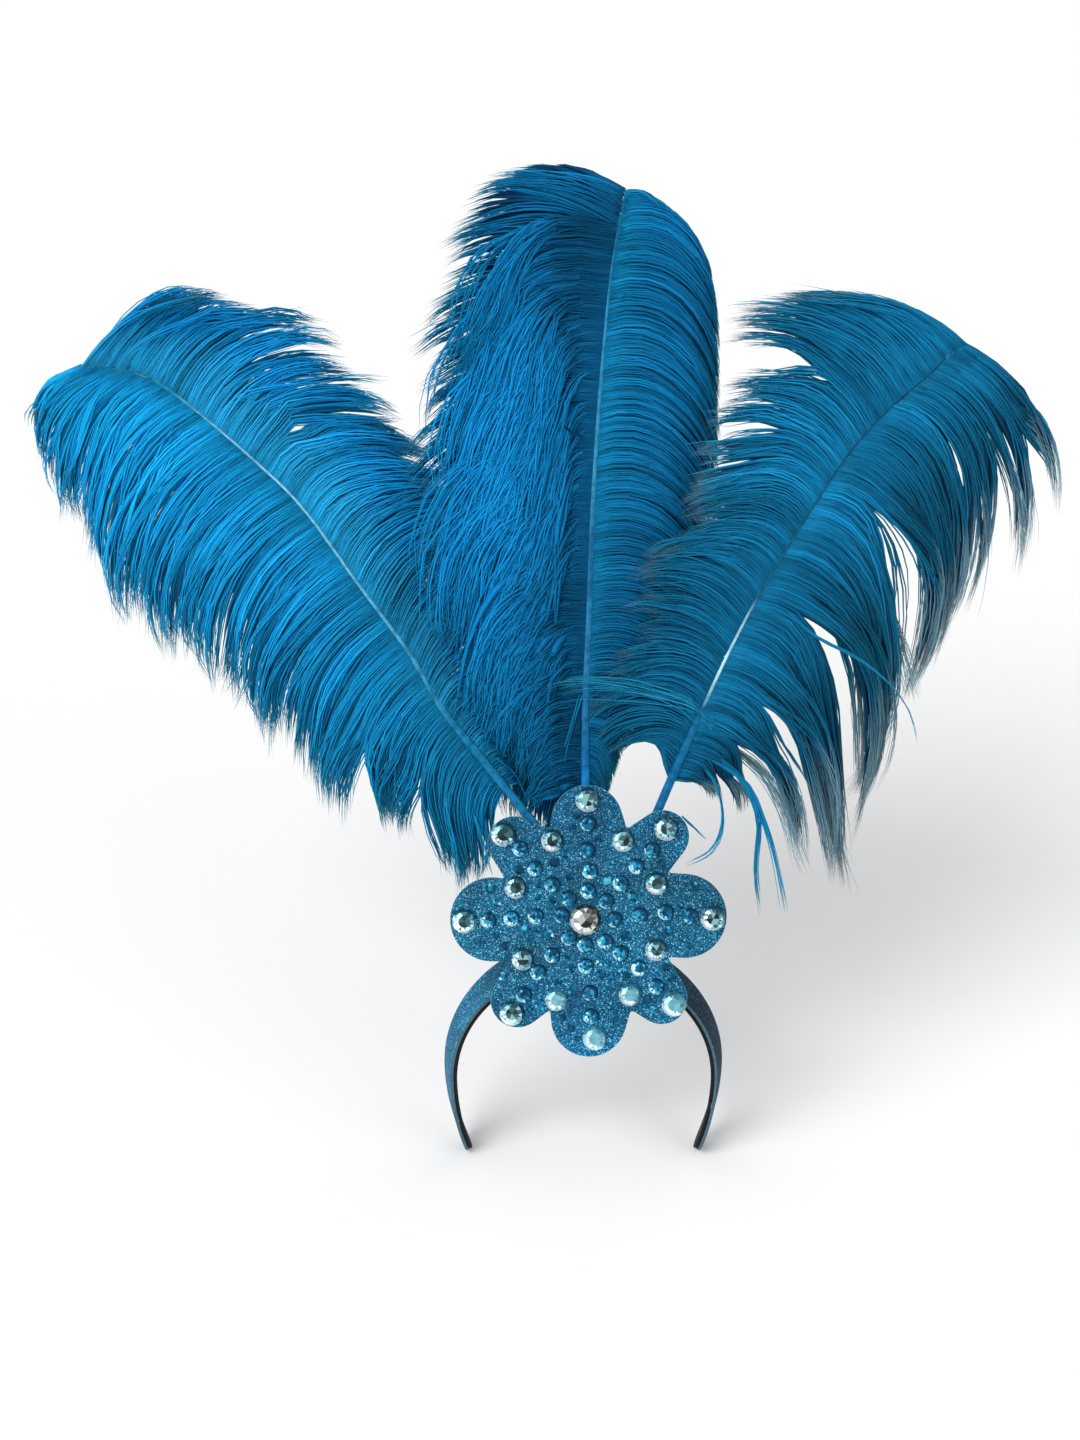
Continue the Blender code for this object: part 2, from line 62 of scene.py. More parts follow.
# The flower and the plumes lean back together. A place on them is (side, up, forward), from the
# middle of the flower's face: side is to the right, up runs along the flower, forward off its face.
leaning = {
    "lean": 27,  # degrees
    "crownFront": (0.0, -0.016, 0.0043),  # the band's front edge, which the flower's back touches
    "centreAboveCrown": 0.0262,
    "sheetThickness": 0.0025,
    "gap": 0.0003,
}
leanTurn = math.radians(leaning["lean"])
sideAxis = np.array([1.0, 0.0, 0.0])
upAxis = np.array([0.0, math.sin(leanTurn), math.cos(leanTurn)])
forwardAxis = np.array([0.0, -math.cos(leanTurn), math.sin(leanTurn)])
flowerCentre = (
    np.array(leaning["crownFront"])
    + upAxis * leaning["centreAboveCrown"]
    + forwardAxis * (leaning["sheetThickness"] + leaning["gap"])
)


def toWorld(places):
    places = np.asarray(places, float)
    side, up, forward = places[..., :1], places[..., 1:2], places[..., 2:]
    return flowerCentre + side * sideAxis + up * upAxis + forward * forwardAxis


def toLeaning(points):
    away = np.asarray(points, float) - flowerCentre
    return np.stack([away @ sideAxis, away @ upAxis, away @ forwardAxis], axis=-1)


# Camera, looking straight at the leaning flower
view = {"side": -0.0264, "up": 0.1158, "distance": 1.3, "lens": 56.0}


def alongSight(side, up, forward):
    # A place read off the photograph, moved to its depth so that the camera still sees it there
    nearer = (view["distance"] - forward) / view["distance"]
    return view["side"] + (side - view["side"]) * nearer, view["up"] + (up - view["up"]) * nearer


def addCamera():
    place = toWorld((view["side"], view["up"], view["distance"]))
    bpy.ops.object.camera_add(location=place, rotation=(math.pi / 2 - leanTurn, 0, 0))
    camera = bpy.context.object
    camera.data.lens = view["lens"]
    camera.data.sensor_width = 36
    camera.data.clip_end = 60
    bpy.context.scene.camera = camera


# Studio
studio = {
    "floorSize": 40.0,
    "floorGap": 0.0005,  # below the band's tips
    "paperTone": (0.93, 0.93, 0.93, 1),
    "worldStrength": 0.68,
    "keyStrength": 1.9,
    "keyPlace": (-2.4, -2.6, 3.4),
    "keySpread": 40,  # degrees, for soft shadows
    "fillPower": 12.0,
    "fillPlace": (2.4, -2.4, 1.8),
    "fillSize": 2.0,
}


def aimedAt(place, target):
    return (Vector(target) - Vector(place)).to_track_quat("-Z", "Y").to_euler()


def addLights():
    target = toWorld((view["side"], view["up"], 0.0))
    place = studio["keyPlace"]
    bpy.ops.object.light_add(type="SUN", location=place, rotation=aimedAt(place, target))
    key = bpy.context.object
    key.name = "key"
    key.data.energy = studio["keyStrength"]
    key.data.angle = math.radians(studio["keySpread"])
    place = studio["fillPlace"]
    bpy.ops.object.light_add(type="AREA", location=place, rotation=aimedAt(place, target))
    fill = bpy.context.object
    fill.name = "fill"
    fill.data.energy = studio["fillPower"]
    fill.data.size = studio["fillSize"]


def addStudio():
    scene = bpy.context.scene
    scene.view_settings.view_transform = "Standard"
    world = bpy.data.worlds.new("studioSky")
    scene.world = world
    world.use_nodes = True
    background = world.node_tree.nodes["Background"]
    background.inputs["Color"].default_value = (1.0, 1.0, 1.0, 1)
    background.inputs["Strength"].default_value = studio["worldStrength"]
    addLights()
    ground = cadBox[0][2] - studio["floorGap"]
    bpy.ops.mesh.primitive_plane_add(size=studio["floorSize"], location=(0, 0, ground))
    floor = bpy.context.object
    floor.name = "floor"
    bpy.ops.object.transform_apply(location=True)
    paper, shader = newMaterial("floorPaper", roughness=0.9)
    shader.inputs["Base Color"].default_value = studio["paperTone"]
    floor.data.materials.append(paper)


# Node helpers for materials
def newMaterial(name, roughness, metallic=0.0, sheen=0.0, coat=0.0, specular=0.5):
    made = bpy.data.materials.new(name)
    made.use_nodes = True
    shader = made.node_tree.nodes["Principled BSDF"]
    shader.inputs["Roughness"].default_value = roughness
    shader.inputs["Metallic"].default_value = metallic
    shader.inputs["Sheen Weight"].default_value = sheen
    shader.inputs["Coat Weight"].default_value = coat
    shader.inputs["Coat Roughness"].default_value = 0.04
    shader.inputs["Specular IOR Level"].default_value = specular
    return made, shader


def addNode(material, kind, inputs=None, **settings):
    # inputs: by name or number, each a value or the socket that feeds it
    tree = material.node_tree
    node = tree.nodes.new(kind)
    for name, value in settings.items():
        setattr(node, name, value)
    for name, value in (inputs or {}).items():
        if isinstance(value, bpy.types.NodeSocket):
            tree.links.new(value, node.inputs[name])
        else:
            node.inputs[name].default_value = value
    return node


def link(material, source, target):
    material.node_tree.links.new(source, target)


def ramp(material, source, stops):
    # stops: (place, colour) from low to high
    node = addNode(material, "ShaderNodeValToRGB", {"Fac": source})
    marks = node.color_ramp.elements
    while len(marks) < len(stops):
        marks.new(0.5)
    for mark, (place, colour) in zip(marks, stops):
        mark.position = place
        mark.color = (*colour, 1)
    return node.outputs["Color"]


def multiplied(material, first, second):
    inputs = {0: 1.0, 6: first, 7: second}
    return addNode(material, "ShaderNodeMix", inputs, data_type="RGBA", blend_type="MULTIPLY").outputs[2]


def placesOn(material):
    return addNode(material, "ShaderNodeTexCoord").outputs["Object"]


def noise(material, where, scale, detail):
    inputs = {"Vector": where, "Scale": scale, "Detail": detail}
    return addNode(material, "ShaderNodeTexNoise", inputs).outputs["Fac"]


def rampAlong(material, where, axis, low, high, stops):
    parts = addNode(material, "ShaderNodeSeparateXYZ", {"Vector": where})
    span = {"Value": parts.outputs[axis], "From Min": low, "From Max": high}
    return ramp(material, addNode(material, "ShaderNodeMapRange", span).outputs["Result"], stops)


# Glitter foam. Each foam's tone changes between two places on an axis, as painted light and shade.
glitter = {
    "flakeSize": 0.00046,
    "tilt": 0.5,
    "tones": {
        "deep": (0.001, 0.020, 0.060),
        "body": (0.004, 0.072, 0.150),
        "lit": (0.010, 0.175, 0.320),
        "pale": (0.042, 0.300, 0.460),
        "spark": (0.34, 0.78, 0.95),
    },
    # the flakes' tones, dark to light: the lightest flakes are painted glints on the foam's own blue
    "flakes": (
        (0.0, "deep"), (0.3, "body"), (0.6, "body"), (0.78, "lit"), (0.92, "pale"), (0.99, "spark"),
    ),
    "patchSize": 0.03,
    "patchTones": ((0.35, (0.72, 0.72, 0.72)), (0.65, (1.28, 1.28, 1.28))),
}
foams = {
    "glitterFoam": {  # the flower's: painted light and shade, its lowest petals painted lighter, as they catch more light, and its top one darker
        "metallic": 0.15, "specular": 0.1, "sparkle": 1.0,
        "axis": "Z", "from": flowerCentre[2] - 0.075, "to": flowerCentre[2] + 0.07,
        "tones": (
            (0.0, (1.0, 1.2, 1.32)), (0.38, (1, 1, 1)), (0.6, (1, 1, 1)), (1.0, (0.62, 0.80, 0.88)),
        ),
    },
    "bandFoam": {  # the band's: painted light and shade, its left side lighter and its right side darker, where the shade falls
        "metallic": 0.04, "specular": 0.02, "sparkle": 0.8, "axis": "X", "from": -0.06, "to": 0.06,
        "tones": ((0.0, (1.35, 1.35, 1.35)), (1.0, (0.28, 0.28, 0.28))),
    },
}


def glitterFoam(name):
    look = foams[name]
    foam, shader = newMaterial(name, roughness=0.5, metallic=look["metallic"], specular=look["specular"])
    where = placesOn(foam)
    flakes = addNode(foam, "ShaderNodeTexVoronoi", {"Vector": where, "Scale": 1 / glitter["flakeSize"]})
    flakes = flakes.outputs["Color"]
    shade = addNode(foam, "ShaderNodeSeparateColor", {"Color": flakes})
    # how strongly each foam shows the painted glints of its lightest flakes
    shine = {"pale": look["sparkle"], "spark": look["sparkle"]}
    colour = ramp(foam, shade.outputs["Red"], [
        (place, tuple(shine.get(tone, 1.0) * c for c in glitter["tones"][tone]))
        for place, tone in glitter["flakes"]
    ])
    # broad random patches, darker and lighter: uneven glitter, and painted shade standing in for the
    # sheet's slight bends
    patches = noise(foam, where, 1 / glitter["patchSize"], 2.0)
    colour = multiplied(foam, colour, ramp(foam, patches, glitter["patchTones"]))
    lit = rampAlong(foam, where, look["axis"], look["from"], look["to"], look["tones"])
    link(foam, multiplied(foam, colour, lit), shader.inputs["Base Color"])

    def reckoned(operation, inputs):
        return addNode(foam, "ShaderNodeVectorMath", inputs, operation=operation).outputs["Vector"]

    # each flake lies at its own small angle
    around = reckoned("SUBTRACT", {0: flakes, 1: (0.5, 0.5, 0.5)})
    tilted = reckoned("SCALE", {0: around, 3: glitter["tilt"]})
    facing = addNode(foam, "ShaderNodeNewGeometry").outputs["Normal"]
    turned = reckoned("ADD", {0: facing, 1: tilted})
    link(foam, reckoned("NORMALIZE", {0: turned}), shader.inputs["Normal"])
    return foam


# The foam's cut edges, the band's lining and the pad's felt: one colour in a fine rough grain.
# shades: how dark and light the grain gets, by its height
foamGrain = {
    "roughness": 0.7, "sheen": 0.0, "specular": 0.5, "scale": 900.0, "detail": 3.0,
    "shades": ((0.3, 0.55), (0.6, 1.0), (0.75, 1.4)), "bump": 0.4, "depth": 0.0003,
}
clothGrain = {
    "roughness": 0.8, "sheen": 0.05, "specular": 0.1, "scale": 1500.0, "detail": 4.0,
    "shades": ((0.35, 0.5), (0.55, 1.0), (0.72, 2.2)), "bump": 0.5, "depth": 0.0002,
}
grained = {
    "foamEdge": {**foamGrain, "colour": (0.090, 0.290, 0.400)},
    "bandEdge": {**foamGrain, "colour": (0.050, 0.125, 0.175)},
    "bandLiningCloth": {**clothGrain, "colour": (0.012, 0.012, 0.014)},
    "padFelt": {**clothGrain, "colour": (0.02, 0.02, 0.022), "scale": 700.0, "depth": 0.0004},
}


def grainedMaterial(name):
    look = grained[name]
    made, shader = newMaterial(name, look["roughness"], sheen=look["sheen"], specular=look["specular"])
    grain = noise(made, placesOn(made), look["scale"], look["detail"])
    stops = [(place, tuple(level * c for c in look["colour"])) for place, level in look["shades"]]
    link(made, ramp(made, grain, stops), shader.inputs["Base Color"])
    inputs = {"Height": grain, "Strength": look["bump"], "Distance": look["depth"]}
    link(made, addNode(made, "ShaderNodeBump", inputs).outputs["Normal"], shader.inputs["Normal"])
    return made


def tintedMaterial(name, **look):
    # the colour is the mesh's own attribute, a tone for each barb or facet
    made, shader = newMaterial(name, **look)
    tone = addNode(made, "ShaderNodeAttribute", attribute_name="tone")
    link(made, tone.outputs["Color"], shader.inputs["Base Color"])
    return made


horn = {
    "roughness": 0.45, "specular": 0.05, "grain": 220.0,
    "streaks": ((0.35, (0.55, 0.55, 0.6)), (0.6, (1, 1, 1))),
}


def hornShaft(name, bands):
    # bands: (height, colour) up the shaft, which takes faint darker streaks
    shaft, shader = newMaterial(name, roughness=horn["roughness"], specular=horn["specular"])
    where = placesOn(shaft)
    low, high = bands[0][0], bands[-1][0]
    stops = [((z - low) / (high - low), tone) for z, tone in bands]
    colour = rampAlong(shaft, where, "Z", low, high, stops)
    streaks = ramp(shaft, noise(shaft, where, horn["grain"], 3.0), horn["streaks"])
    link(shaft, multiplied(shaft, colour, streaks), shader.inputs["Base Color"])
    return shaft


def ease(value, start, end=1.0):
    t = ((value - start) / (end - start)).clip(0, 1)
    return t * t * (3 - 2 * t)


def readAt(places, at, rows):
    # the rows' values, which stand at the places in at, read at other places
    return np.stack([np.interp(places, at, column) for column in np.transpose(rows)], axis=-1)


def unit(vectors):
    return vectors / (np.linalg.norm(vectors, axis=-1, keepdims=True) + 1e-12)


# Making and finishing a piece
def freeHands():
    if bpy.context.object and bpy.context.object.mode != "OBJECT":
        bpy.ops.object.mode_set(mode="OBJECT")
    bpy.ops.object.select_all(action="DESELECT")


def finishPiece(piece, name, replaced=()):
    piece.name = name
    piece.data.name = name
    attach(piece, "root")
    if replaced:
        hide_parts(*replaced)


def meshCo(mesh):
    found = np.empty(len(mesh.vertices) * 3)
    mesh.vertices.foreach_get("co", found)
    return found.reshape(-1, 3)


def setCo(mesh, points):
    mesh.vertices.foreach_set("co", np.asarray(points, float).ravel())
    mesh.update()


def paintTones(mesh, tones, domain):
    layer = mesh.color_attributes.new("tone", "FLOAT_COLOR", domain)
    layer.data.foreach_set("color", np.column_stack([tones, np.ones(len(tones))]).ravel())


def paintFaces(mesh, tones):
    sizes = [face.loop_total for face in mesh.polygons]
    paintTones(mesh, np.repeat(np.array(tones, float), sizes, axis=0), "CORNER")


def newPiece(name, points, faces, finish):
    mesh = bpy.data.meshes.new(name)
    mesh.from_pydata(points.tolist(), [], faces)
    mesh.materials.append(finish)
    piece = bpy.data.objects.new(name, mesh)
    bpy.context.scene.collection.objects.link(piece)
    return piece


def faceOutward():
    bpy.ops.mesh.select_all(action="SELECT")
    bpy.ops.mesh.normals_make_consistent(inside=False)
    bpy.ops.object.mode_set(mode="OBJECT")


def applyModifiers(piece):
    for modifier in list(piece.modifiers):
        bpy.ops.object.modifier_apply(modifier=modifier.name)


def selectFaces(piece, wanted):
    # goes into edit mode with the faces selected that the test picks
    bpy.ops.object.mode_set(mode="OBJECT")
    mesh = piece.data
    for part in (*mesh.vertices, *mesh.edges):
        part.select = False
    for face in mesh.polygons:
        face.select = bool(wanted(face))
    bpy.ops.object.mode_set(mode="EDIT")
    bpy.ops.mesh.select_mode(type="FACE")


# Headband
band = {
    "halfSpan": 0.0825,
    "crownRise": 0.0875,
    "legDrop": 0.0574,
    "legCurve": 0.1186,
    "thickness": 0.0043,  # lining, gap and cover together
    "crownWidth": 0.032,
    "tipWidth": 0.021,
    "twist": 12,  # degrees that the sides turn, front edge inwards
    "twistFrom": 0.25,  # shares of the way from the crown to a tip
    "twistTo": 0.85,
    "along": 150,
    "across": 8,
    "coverThickness": 0.002,
    "liningThickness": 0.002,
    "liningInset": 0.0023,  # from the cover's outer side to the lining
    "liningNarrower": 0.0006,
    "crowding": 0.012,  # how much the stations crowd together in the round tips
    "endRow": 0.0004,  # from the path's end
    "innerRows": (0.0008, 0.9992),
    "narrowest": 0.0002,
    "edgeRounding": 0.0004,
}


def archPath():
    turn = np.linspace(0, math.pi / 2, 300)
    drop = np.linspace(0, band["legDrop"], 200)[1:]
    x = np.concatenate([np.sin(turn), np.sqrt(1 - (drop / band["legCurve"]) ** 2)]) * band["halfSpan"]
    z = np.concatenate([np.cos(turn) * band["crownRise"], -drop]) + band["thickness"] - band["crownRise"]
    right = np.stack([x, z], axis=1)
    path = np.concatenate([right[:0:-1] * (-1, 1), right])
    along = np.concatenate([[0], np.cumsum(np.linalg.norm(np.diff(path, axis=0), axis=1))])
    return path, along


def bandStrip(name, inset, thickness, narrower, node, finishes):
    freeHands()
    bpy.ops.mesh.primitive_grid_add(x_subdivisions=band["along"], y_subdivisions=band["across"], size=2)
    strip = bpy.context.object
    grid = meshCo(strip.data)
    path, along = archPath()
    length = along[-1]
    tip = band["tipWidth"] / 2
    run = (grid[:, 0] + 1) / 2
    place = length * (run - band["crowding"] * np.sin(2 * math.pi * run)).clip(*band["innerRows"])
    place = np.where(grid[:, 0] <= -1, band["endRow"], place)
    place = np.where(grid[:, 0] >= 1, length - band["endRow"], place)
    point = readAt(place, along, path)
    slope = unit(readAt(place, along, np.gradient(path, along, axis=0)))
    outward = np.stack([-slope[:, 1], slope[:, 0]], axis=1)
    fromCrown = np.abs(place - length / 2) / (length / 2)
    half = (band["crownWidth"] + (band["tipWidth"] - band["crownWidth"]) * fromCrown**2) / 2
    fromEnd = np.minimum(place, length - place)
    round_ = np.sqrt(np.clip(1 - (1 - fromEnd / tip).clip(0) ** 2, 0, 1))
    half = np.where(fromEnd < tip, tip * round_, half) - narrower
    turn = math.radians(band["twist"]) * ease(fromCrown, band["twistFrom"], band["twistTo"])
    across = grid[:, 1] * half.clip(band["narrowest"])
    point = point - outward * (inset * np.cos(turn) - across * np.sin(turn))[:, None]
    depth = across * np.cos(turn) + inset * np.sin(turn)
    setCo(strip.data, np.stack([point[:, 0], depth, point[:, 1]], axis=1))
    bpy.ops.object.mode_set(mode="EDIT")
    faceOutward()
    crown = min(strip.data.polygons, key=lambda face: abs(face.center.x))
    if crown.normal.z < 0:
        strip.data.flip_normals()
    for finish in finishes:
        strip.data.materials.append(finish)
    wall = strip.modifiers.new("wall", "SOLIDIFY")
    wall.thickness = thickness
    wall.offset = -1
    wall.material_offset_rim = len(finishes) - 1
    edge = strip.modifiers.new("edge", "BEVEL")
    edge.width = band["edgeRounding"]
    edge.segments = 2
    edge.limit_method = "ANGLE"
    applyModifiers(strip)
    bpy.ops.object.shade_smooth_by_angle(angle=math.radians(40))
    finishPiece(strip, name, (node,))


def makeHeadband():
    bandStrip("bandCover", 0.0, band["coverThickness"], 0.0, "headband_cover",
              (glitterFoam("bandFoam"), grainedMaterial("bandEdge")))
    bandStrip("bandLining", band["liningInset"], band["liningThickness"], band["liningNarrower"],
              "headband_core", (grainedMaterial("bandLiningCloth"),))


# Flower: one sheet. Petals go clockwise from the top: the bearing in degrees, then in millimetres
# how far the petal reaches and the radius of its end. A notch comes before each petal.
flower = {
    "petals": (
        (1, 78.1, 20.6), (43, 81.2, 15.1), (88, 82.1, 24.4), (136, 78.6, 15.1),
        (178, 79.7, 22.0), (220, 77.0, 15.7), (270, 78.6, 24.4), (317, 76.2, 15.4),
    ),
    "notches": (
        (-21.4, 56.4), (24.6, 57.8), (60.5, 55.0), (114.4, 52.5),
        (153.3, 58.7), (201.4, 56.3), (240.9, 49.4), (296.8, 52.3),
    ),
    "arcSteps": 26,
    "notchRounding": 0.0022,
    "edgeRounding": 0.0005,
}


def byBearing(bearing, distance):
    turn = math.radians(bearing)
    return np.array([math.sin(turn), math.cos(turn)]) * distance


def petalArc(before, after, bearing, reach, radius):
    centre = byBearing(bearing, reach - radius)

    def touching(outside, sign):
        away = outside - centre
        return math.atan2(away[1], away[0]) + sign * math.acos(radius / np.linalg.norm(away))

    first = touching(before, -1)
    sweep = (first - touching(after, 1)) % math.tau
    turns = [first - sweep * k / flower["arcSteps"] for k in range(flower["arcSteps"] + 1)]
    return [centre + radius * np.array([math.cos(turn), math.sin(turn)]) for turn in turns]


def flowerOutline():
    notches = [byBearing(*notch) for notch in flower["notches"]]
    outline, corners = [], []
    for k, petal in enumerate(flower["petals"]):
        corners.append(len(outline))
        outline.append(notches[k])
        outline += petalArc(notches[k], notches[(k + 1) % len(notches)], *petal)
    return np.array(outline) * mm, corners


def makeFlower():
    outline, corners = flowerOutline()
    freeHands()
    bpy.ops.mesh.primitive_circle_add(vertices=len(outline), fill_type="NGON", radius=0.08)
    sheet = bpy.context.object
    sheet.data.materials.append(glitterFoam("glitterFoam"))
    sheet.data.materials.append(grainedMaterial("foamEdge"))
    # the circle's corners are moved out to the petals' outline, and the notches are rounded
    flat = np.column_stack([outline, np.full(len(outline), -leaning["sheetThickness"])])
    setCo(sheet.data, flat)
    for part in (*sheet.data.edges, *sheet.data.polygons):
        part.select = False
    for vertex in sheet.data.vertices:
        vertex.select = vertex.index in corners
    bpy.ops.object.mode_set(mode="EDIT")
    bpy.ops.mesh.select_mode(type="VERT")
    bpy.ops.mesh.bevel(offset=flower["notchRounding"], segments=4, affect="VERTICES")
    bpy.ops.mesh.select_all(action="SELECT")
    bpy.ops.mesh.extrude_region_move(TRANSFORM_OT_translate={"value": (0, 0, leaning["sheetThickness"])})
    faceOutward()
    for face in sheet.data.polygons:
        face.material_index = int(abs(face.normal.z) < 0.5)
    rounding = sheet.modifiers.new("rounding", "BEVEL")
    rounding.width = flower["edgeRounding"]
    rounding.segments = 3
    rounding.limit_method = "ANGLE"
    rounding.angle_limit = math.radians(60)
    applyModifiers(sheet)
    bpy.ops.object.shade_smooth_by_angle(angle=math.radians(50))
    setCo(sheet.data, toWorld(meshCo(sheet.data)))
    finishPiece(sheet, "flowerSheet", ("flower_plaque",))


# Stones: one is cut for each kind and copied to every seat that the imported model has
stoneCut = {
    "sides": 16,
    "girdle": 0.07,  # of the diameter, as are the rest
    "crown": 0.17,
    "crownReach": 0.79,
    "tableReach": 0.5,
    "tableLift": 0.06,
    "sectors": 6,  # patches of one painted reflection tone that show through the table
    "facetsDiffer": 0.20,
    "bright": (-0.6, -0.8),  # the side whose facets are painted lightest, as the foil throws most light to it
    "sizes": {"centre": 0.018, "tip": 0.0145, "notch": 0.0132, "row": 0.0095},
}
# Painted reflections and glints of each kind of stone: tones for the table's patches, and dark to light
# for the facets
clearTones = {
    "level": 0.36, "gain": 0.85, "differ": 0.04,
    "table": ((0.003, 0.014, 0.016), (0.010, 0.045, 0.050), (0.04, 0.14, 0.16), (0.25, 0.50, 0.54)),
    "facet": (
        (0.01, 0.07, 0.10), (0.05, 0.22, 0.30), (0.20, 0.48, 0.58), (0.60, 0.88, 0.92), (1.0, 1.0, 1.0),
    ),
}
centreTones = {
    "level": 0.5, "gain": 0.9, "differ": 0.0,
    "table": ((0.014, 0.016, 0.013), (0.08, 0.10, 0.085), (0.24, 0.28, 0.26), (0.50, 0.56, 0.53)),
    "facet": (
        (0.03, 0.04, 0.035), (0.11, 0.13, 0.12), (0.30, 0.34, 0.32),
        (0.66, 0.74, 0.72), (0.98, 1.0, 1.0),
    ),
}
paleTones = {
    "level": 0.36, "gain": 0.85, "differ": 0.04,
    "table": ((0.13, 0.40, 0.50), (0.17, 0.46, 0.56), (0.22, 0.52, 0.62)),
    "facet": (
        (0.05, 0.22, 0.30), (0.12, 0.38, 0.48), (0.26, 0.56, 0.66),
        (0.60, 0.88, 0.92), (0.85, 0.97, 0.98),
    ),
}
blueTones = {
    "level": 0.30, "gain": 0.80, "differ": 0.12,
    "table": (
        (0.001, 0.035, 0.085), (0.001, 0.060, 0.145), (0.003, 0.120, 0.250), (0.020, 0.310, 0.500),
    ),
    "facet": (
        (0.001, 0.045, 0.10), (0.002, 0.08, 0.18), (0.006, 0.18, 0.34),
        (0.07, 0.48, 0.66), (0.66, 0.94, 1.0),
    ),
}
paleStones = ("tip_bottom", "tip_lower_right", "notch_lower_right", "notch_bottom")


def cutStone(diameter):
    freeHands()
    radius = diameter / 2
    girdle = diameter * stoneCut["girdle"]
    bpy.ops.mesh.primitive_cylinder_add(vertices=stoneCut["sides"], radius=radius, depth=girdle,
                                        location=(0, 0, girdle / 2))
    stone = bpy.context.object
    bpy.ops.object.transform_apply(location=True)
    halfTurn = math.pi / stoneCut["sides"]
    rings = (
        (1 - stoneCut["crownReach"], stoneCut["crown"]),
        (stoneCut["crownReach"] - stoneCut["tableReach"], stoneCut["tableLift"]),
    )
    selectFaces(stone, lambda face: face.normal.z > 0.9)
    for narrower, lift in rings:
        bpy.ops.mesh.inset(thickness=radius * narrower, depth=0)
        bpy.ops.transform.translate(value=(0, 0, diameter * lift))
        bpy.ops.transform.rotate(value=halfTurn, orient_axis="Z", center_override=(0, 0, 0))
    # the table shows a painted reflection of the cut below it, facet by facet
    bpy.ops.mesh.poke()
    bpy.ops.mesh.select_all(action="SELECT")
    bpy.ops.mesh.quads_convert_to_tris(quad_method="SHORTEST_DIAGONAL")
    faceOutward()
    return stone


def seatOf(node):
    # (side, up) of the middle of a stone's flat back
    points = toLeaning(meshCo(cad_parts[node].data))
    return points[points[:, 2] < points[:, 2].min() + 0.0001, :2].mean(axis=0)


def ringSeats():
    # the eight stones of the centre ring, each by the middle of its table
    points = toLeaning(meshCo(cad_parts["centre_ring"].data))
    tables = points[points[:, 2] > points[:, 2].max() - 0.0001, :2]
    seats = []
    for point in tables:
        near = tables[np.linalg.norm(tables - point, axis=1) < 0.006].mean(axis=0)
        if all(np.linalg.norm(near - seat) > 0.004 for seat in seats):
            seats.append(near)
    # each point goes to its nearest seat, and the seats move to the middle of theirs
    for _ in range(4):
        owner = np.argmin([np.linalg.norm(tables - seat, axis=1) for seat in seats], axis=0)
        seats = [tables[owner == k].mean(axis=0) for k in range(len(seats))]
    return seats


def paintFacets(mesh, tones, rng):
    # Painted reflections: foil behind a cut stone throws back a different tone in each facet, so each
    # facet is painted its own tone, lightest on one side
    own = tones["level"] + rng.normal(0, 1) * tones["differ"]
    sectors = rng.integers(len(tones["table"]), size=stoneCut["sectors"])
    first = rng.uniform(0, 1)
    steps = tones["facet"]
    painted = []
    for face in mesh.polygons:
        if face.normal.z > 0.98:
            turn = (first + math.atan2(face.center.y, face.center.x) / math.tau) % 1
            painted.append(tones["table"][sectors[int(turn * len(sectors))]])
        else:
            toward = face.normal.x * stoneCut["bright"][0] + face.normal.y * stoneCut["bright"][1]
            level = own + tones["gain"] * toward + rng.normal(0, stoneCut["facetsDiffer"])
            painted.append(steps[int(np.clip(level * len(steps), 0, len(steps) - 1))])
    paintFaces(mesh, painted)


def makeStones(clear, blue):
    rng = np.random.default_rng(7)
    petals = ("top", "upper_right", "right", "lower_right", "bottom", "lower_left", "left", "upper_left")
    cuts = {kind: cutStone(diameter) for kind, diameter in stoneCut["sizes"].items()}
    taken = []

    def setStone(kind, name, node, tones, seat=None):
        seat = seatOf(node) if seat is None else seat
        stone = cuts[kind].copy()
        stone.data = stone.data.copy()
        bpy.context.scene.collection.objects.link(stone)
        points = meshCo(stone.data)
        turn = rng.uniform(0, math.tau)
        points = np.column_stack([
            points[:, 0] * math.cos(turn) - points[:, 1] * math.sin(turn),
            points[:, 0] * math.sin(turn) + points[:, 1] * math.cos(turn),
            points[:, 2],
        ])
        setCo(stone.data, points)
        paintFacets(stone.data, tones, rng)
        setCo(stone.data, toWorld(points + (*seat, leaning["gap"])))
        finish, slot = (blue, "blue_stone") if kind == "row" else (clear, "clear_stone")
        stone.data.materials.append(finish)
        finishPiece(stone, name, (node,) if node else ())
        taken.append((seat, stoneCut["sizes"][kind]))

    setStone("centre", "stoneCentre", "centre_stone", centreTones)
    for petal in petals:
        for kind in ("tip", "notch"):
            tones = paleTones if f"{kind}_{petal}" in paleStones else clearTones
            setStone(kind, f"stone_{kind}_{petal}", f"{kind}_stone_{petal}", tones)
        for number in (1, 2, 3):
            setStone("row", f"stone_row_{petal}_{number}", f"row_stone_{petal}_{number}", blueTones)
    for number, seat in enumerate(ringSeats()):
        setStone("row", f"stone_ring_{number}", "" if number else "centre_ring", blueTones, seat)
    for pattern in cuts.values():
        bpy.data.objects.remove(pattern, do_unlink=True)
    return taken


# Chips scattered between the stones, thickest round the centre and on the lower petals
chips = {
    "tries": 1900,
    "sizes": (0.0036, 0.0064),
    "room": 0.0008,
    "fromEdge": 0.006,
    "likely": 0.12,
    "likelyInside": (0.8, 0.03),  # how much more likely in the middle, and how far that reaches
    "likelyBelow": 0.4,
    "sides": 8,
    "rings": ((0.5, 0.0), (0.5, 0.08), (0.24, 0.3)),  # (reach, height), in shares of the size
}


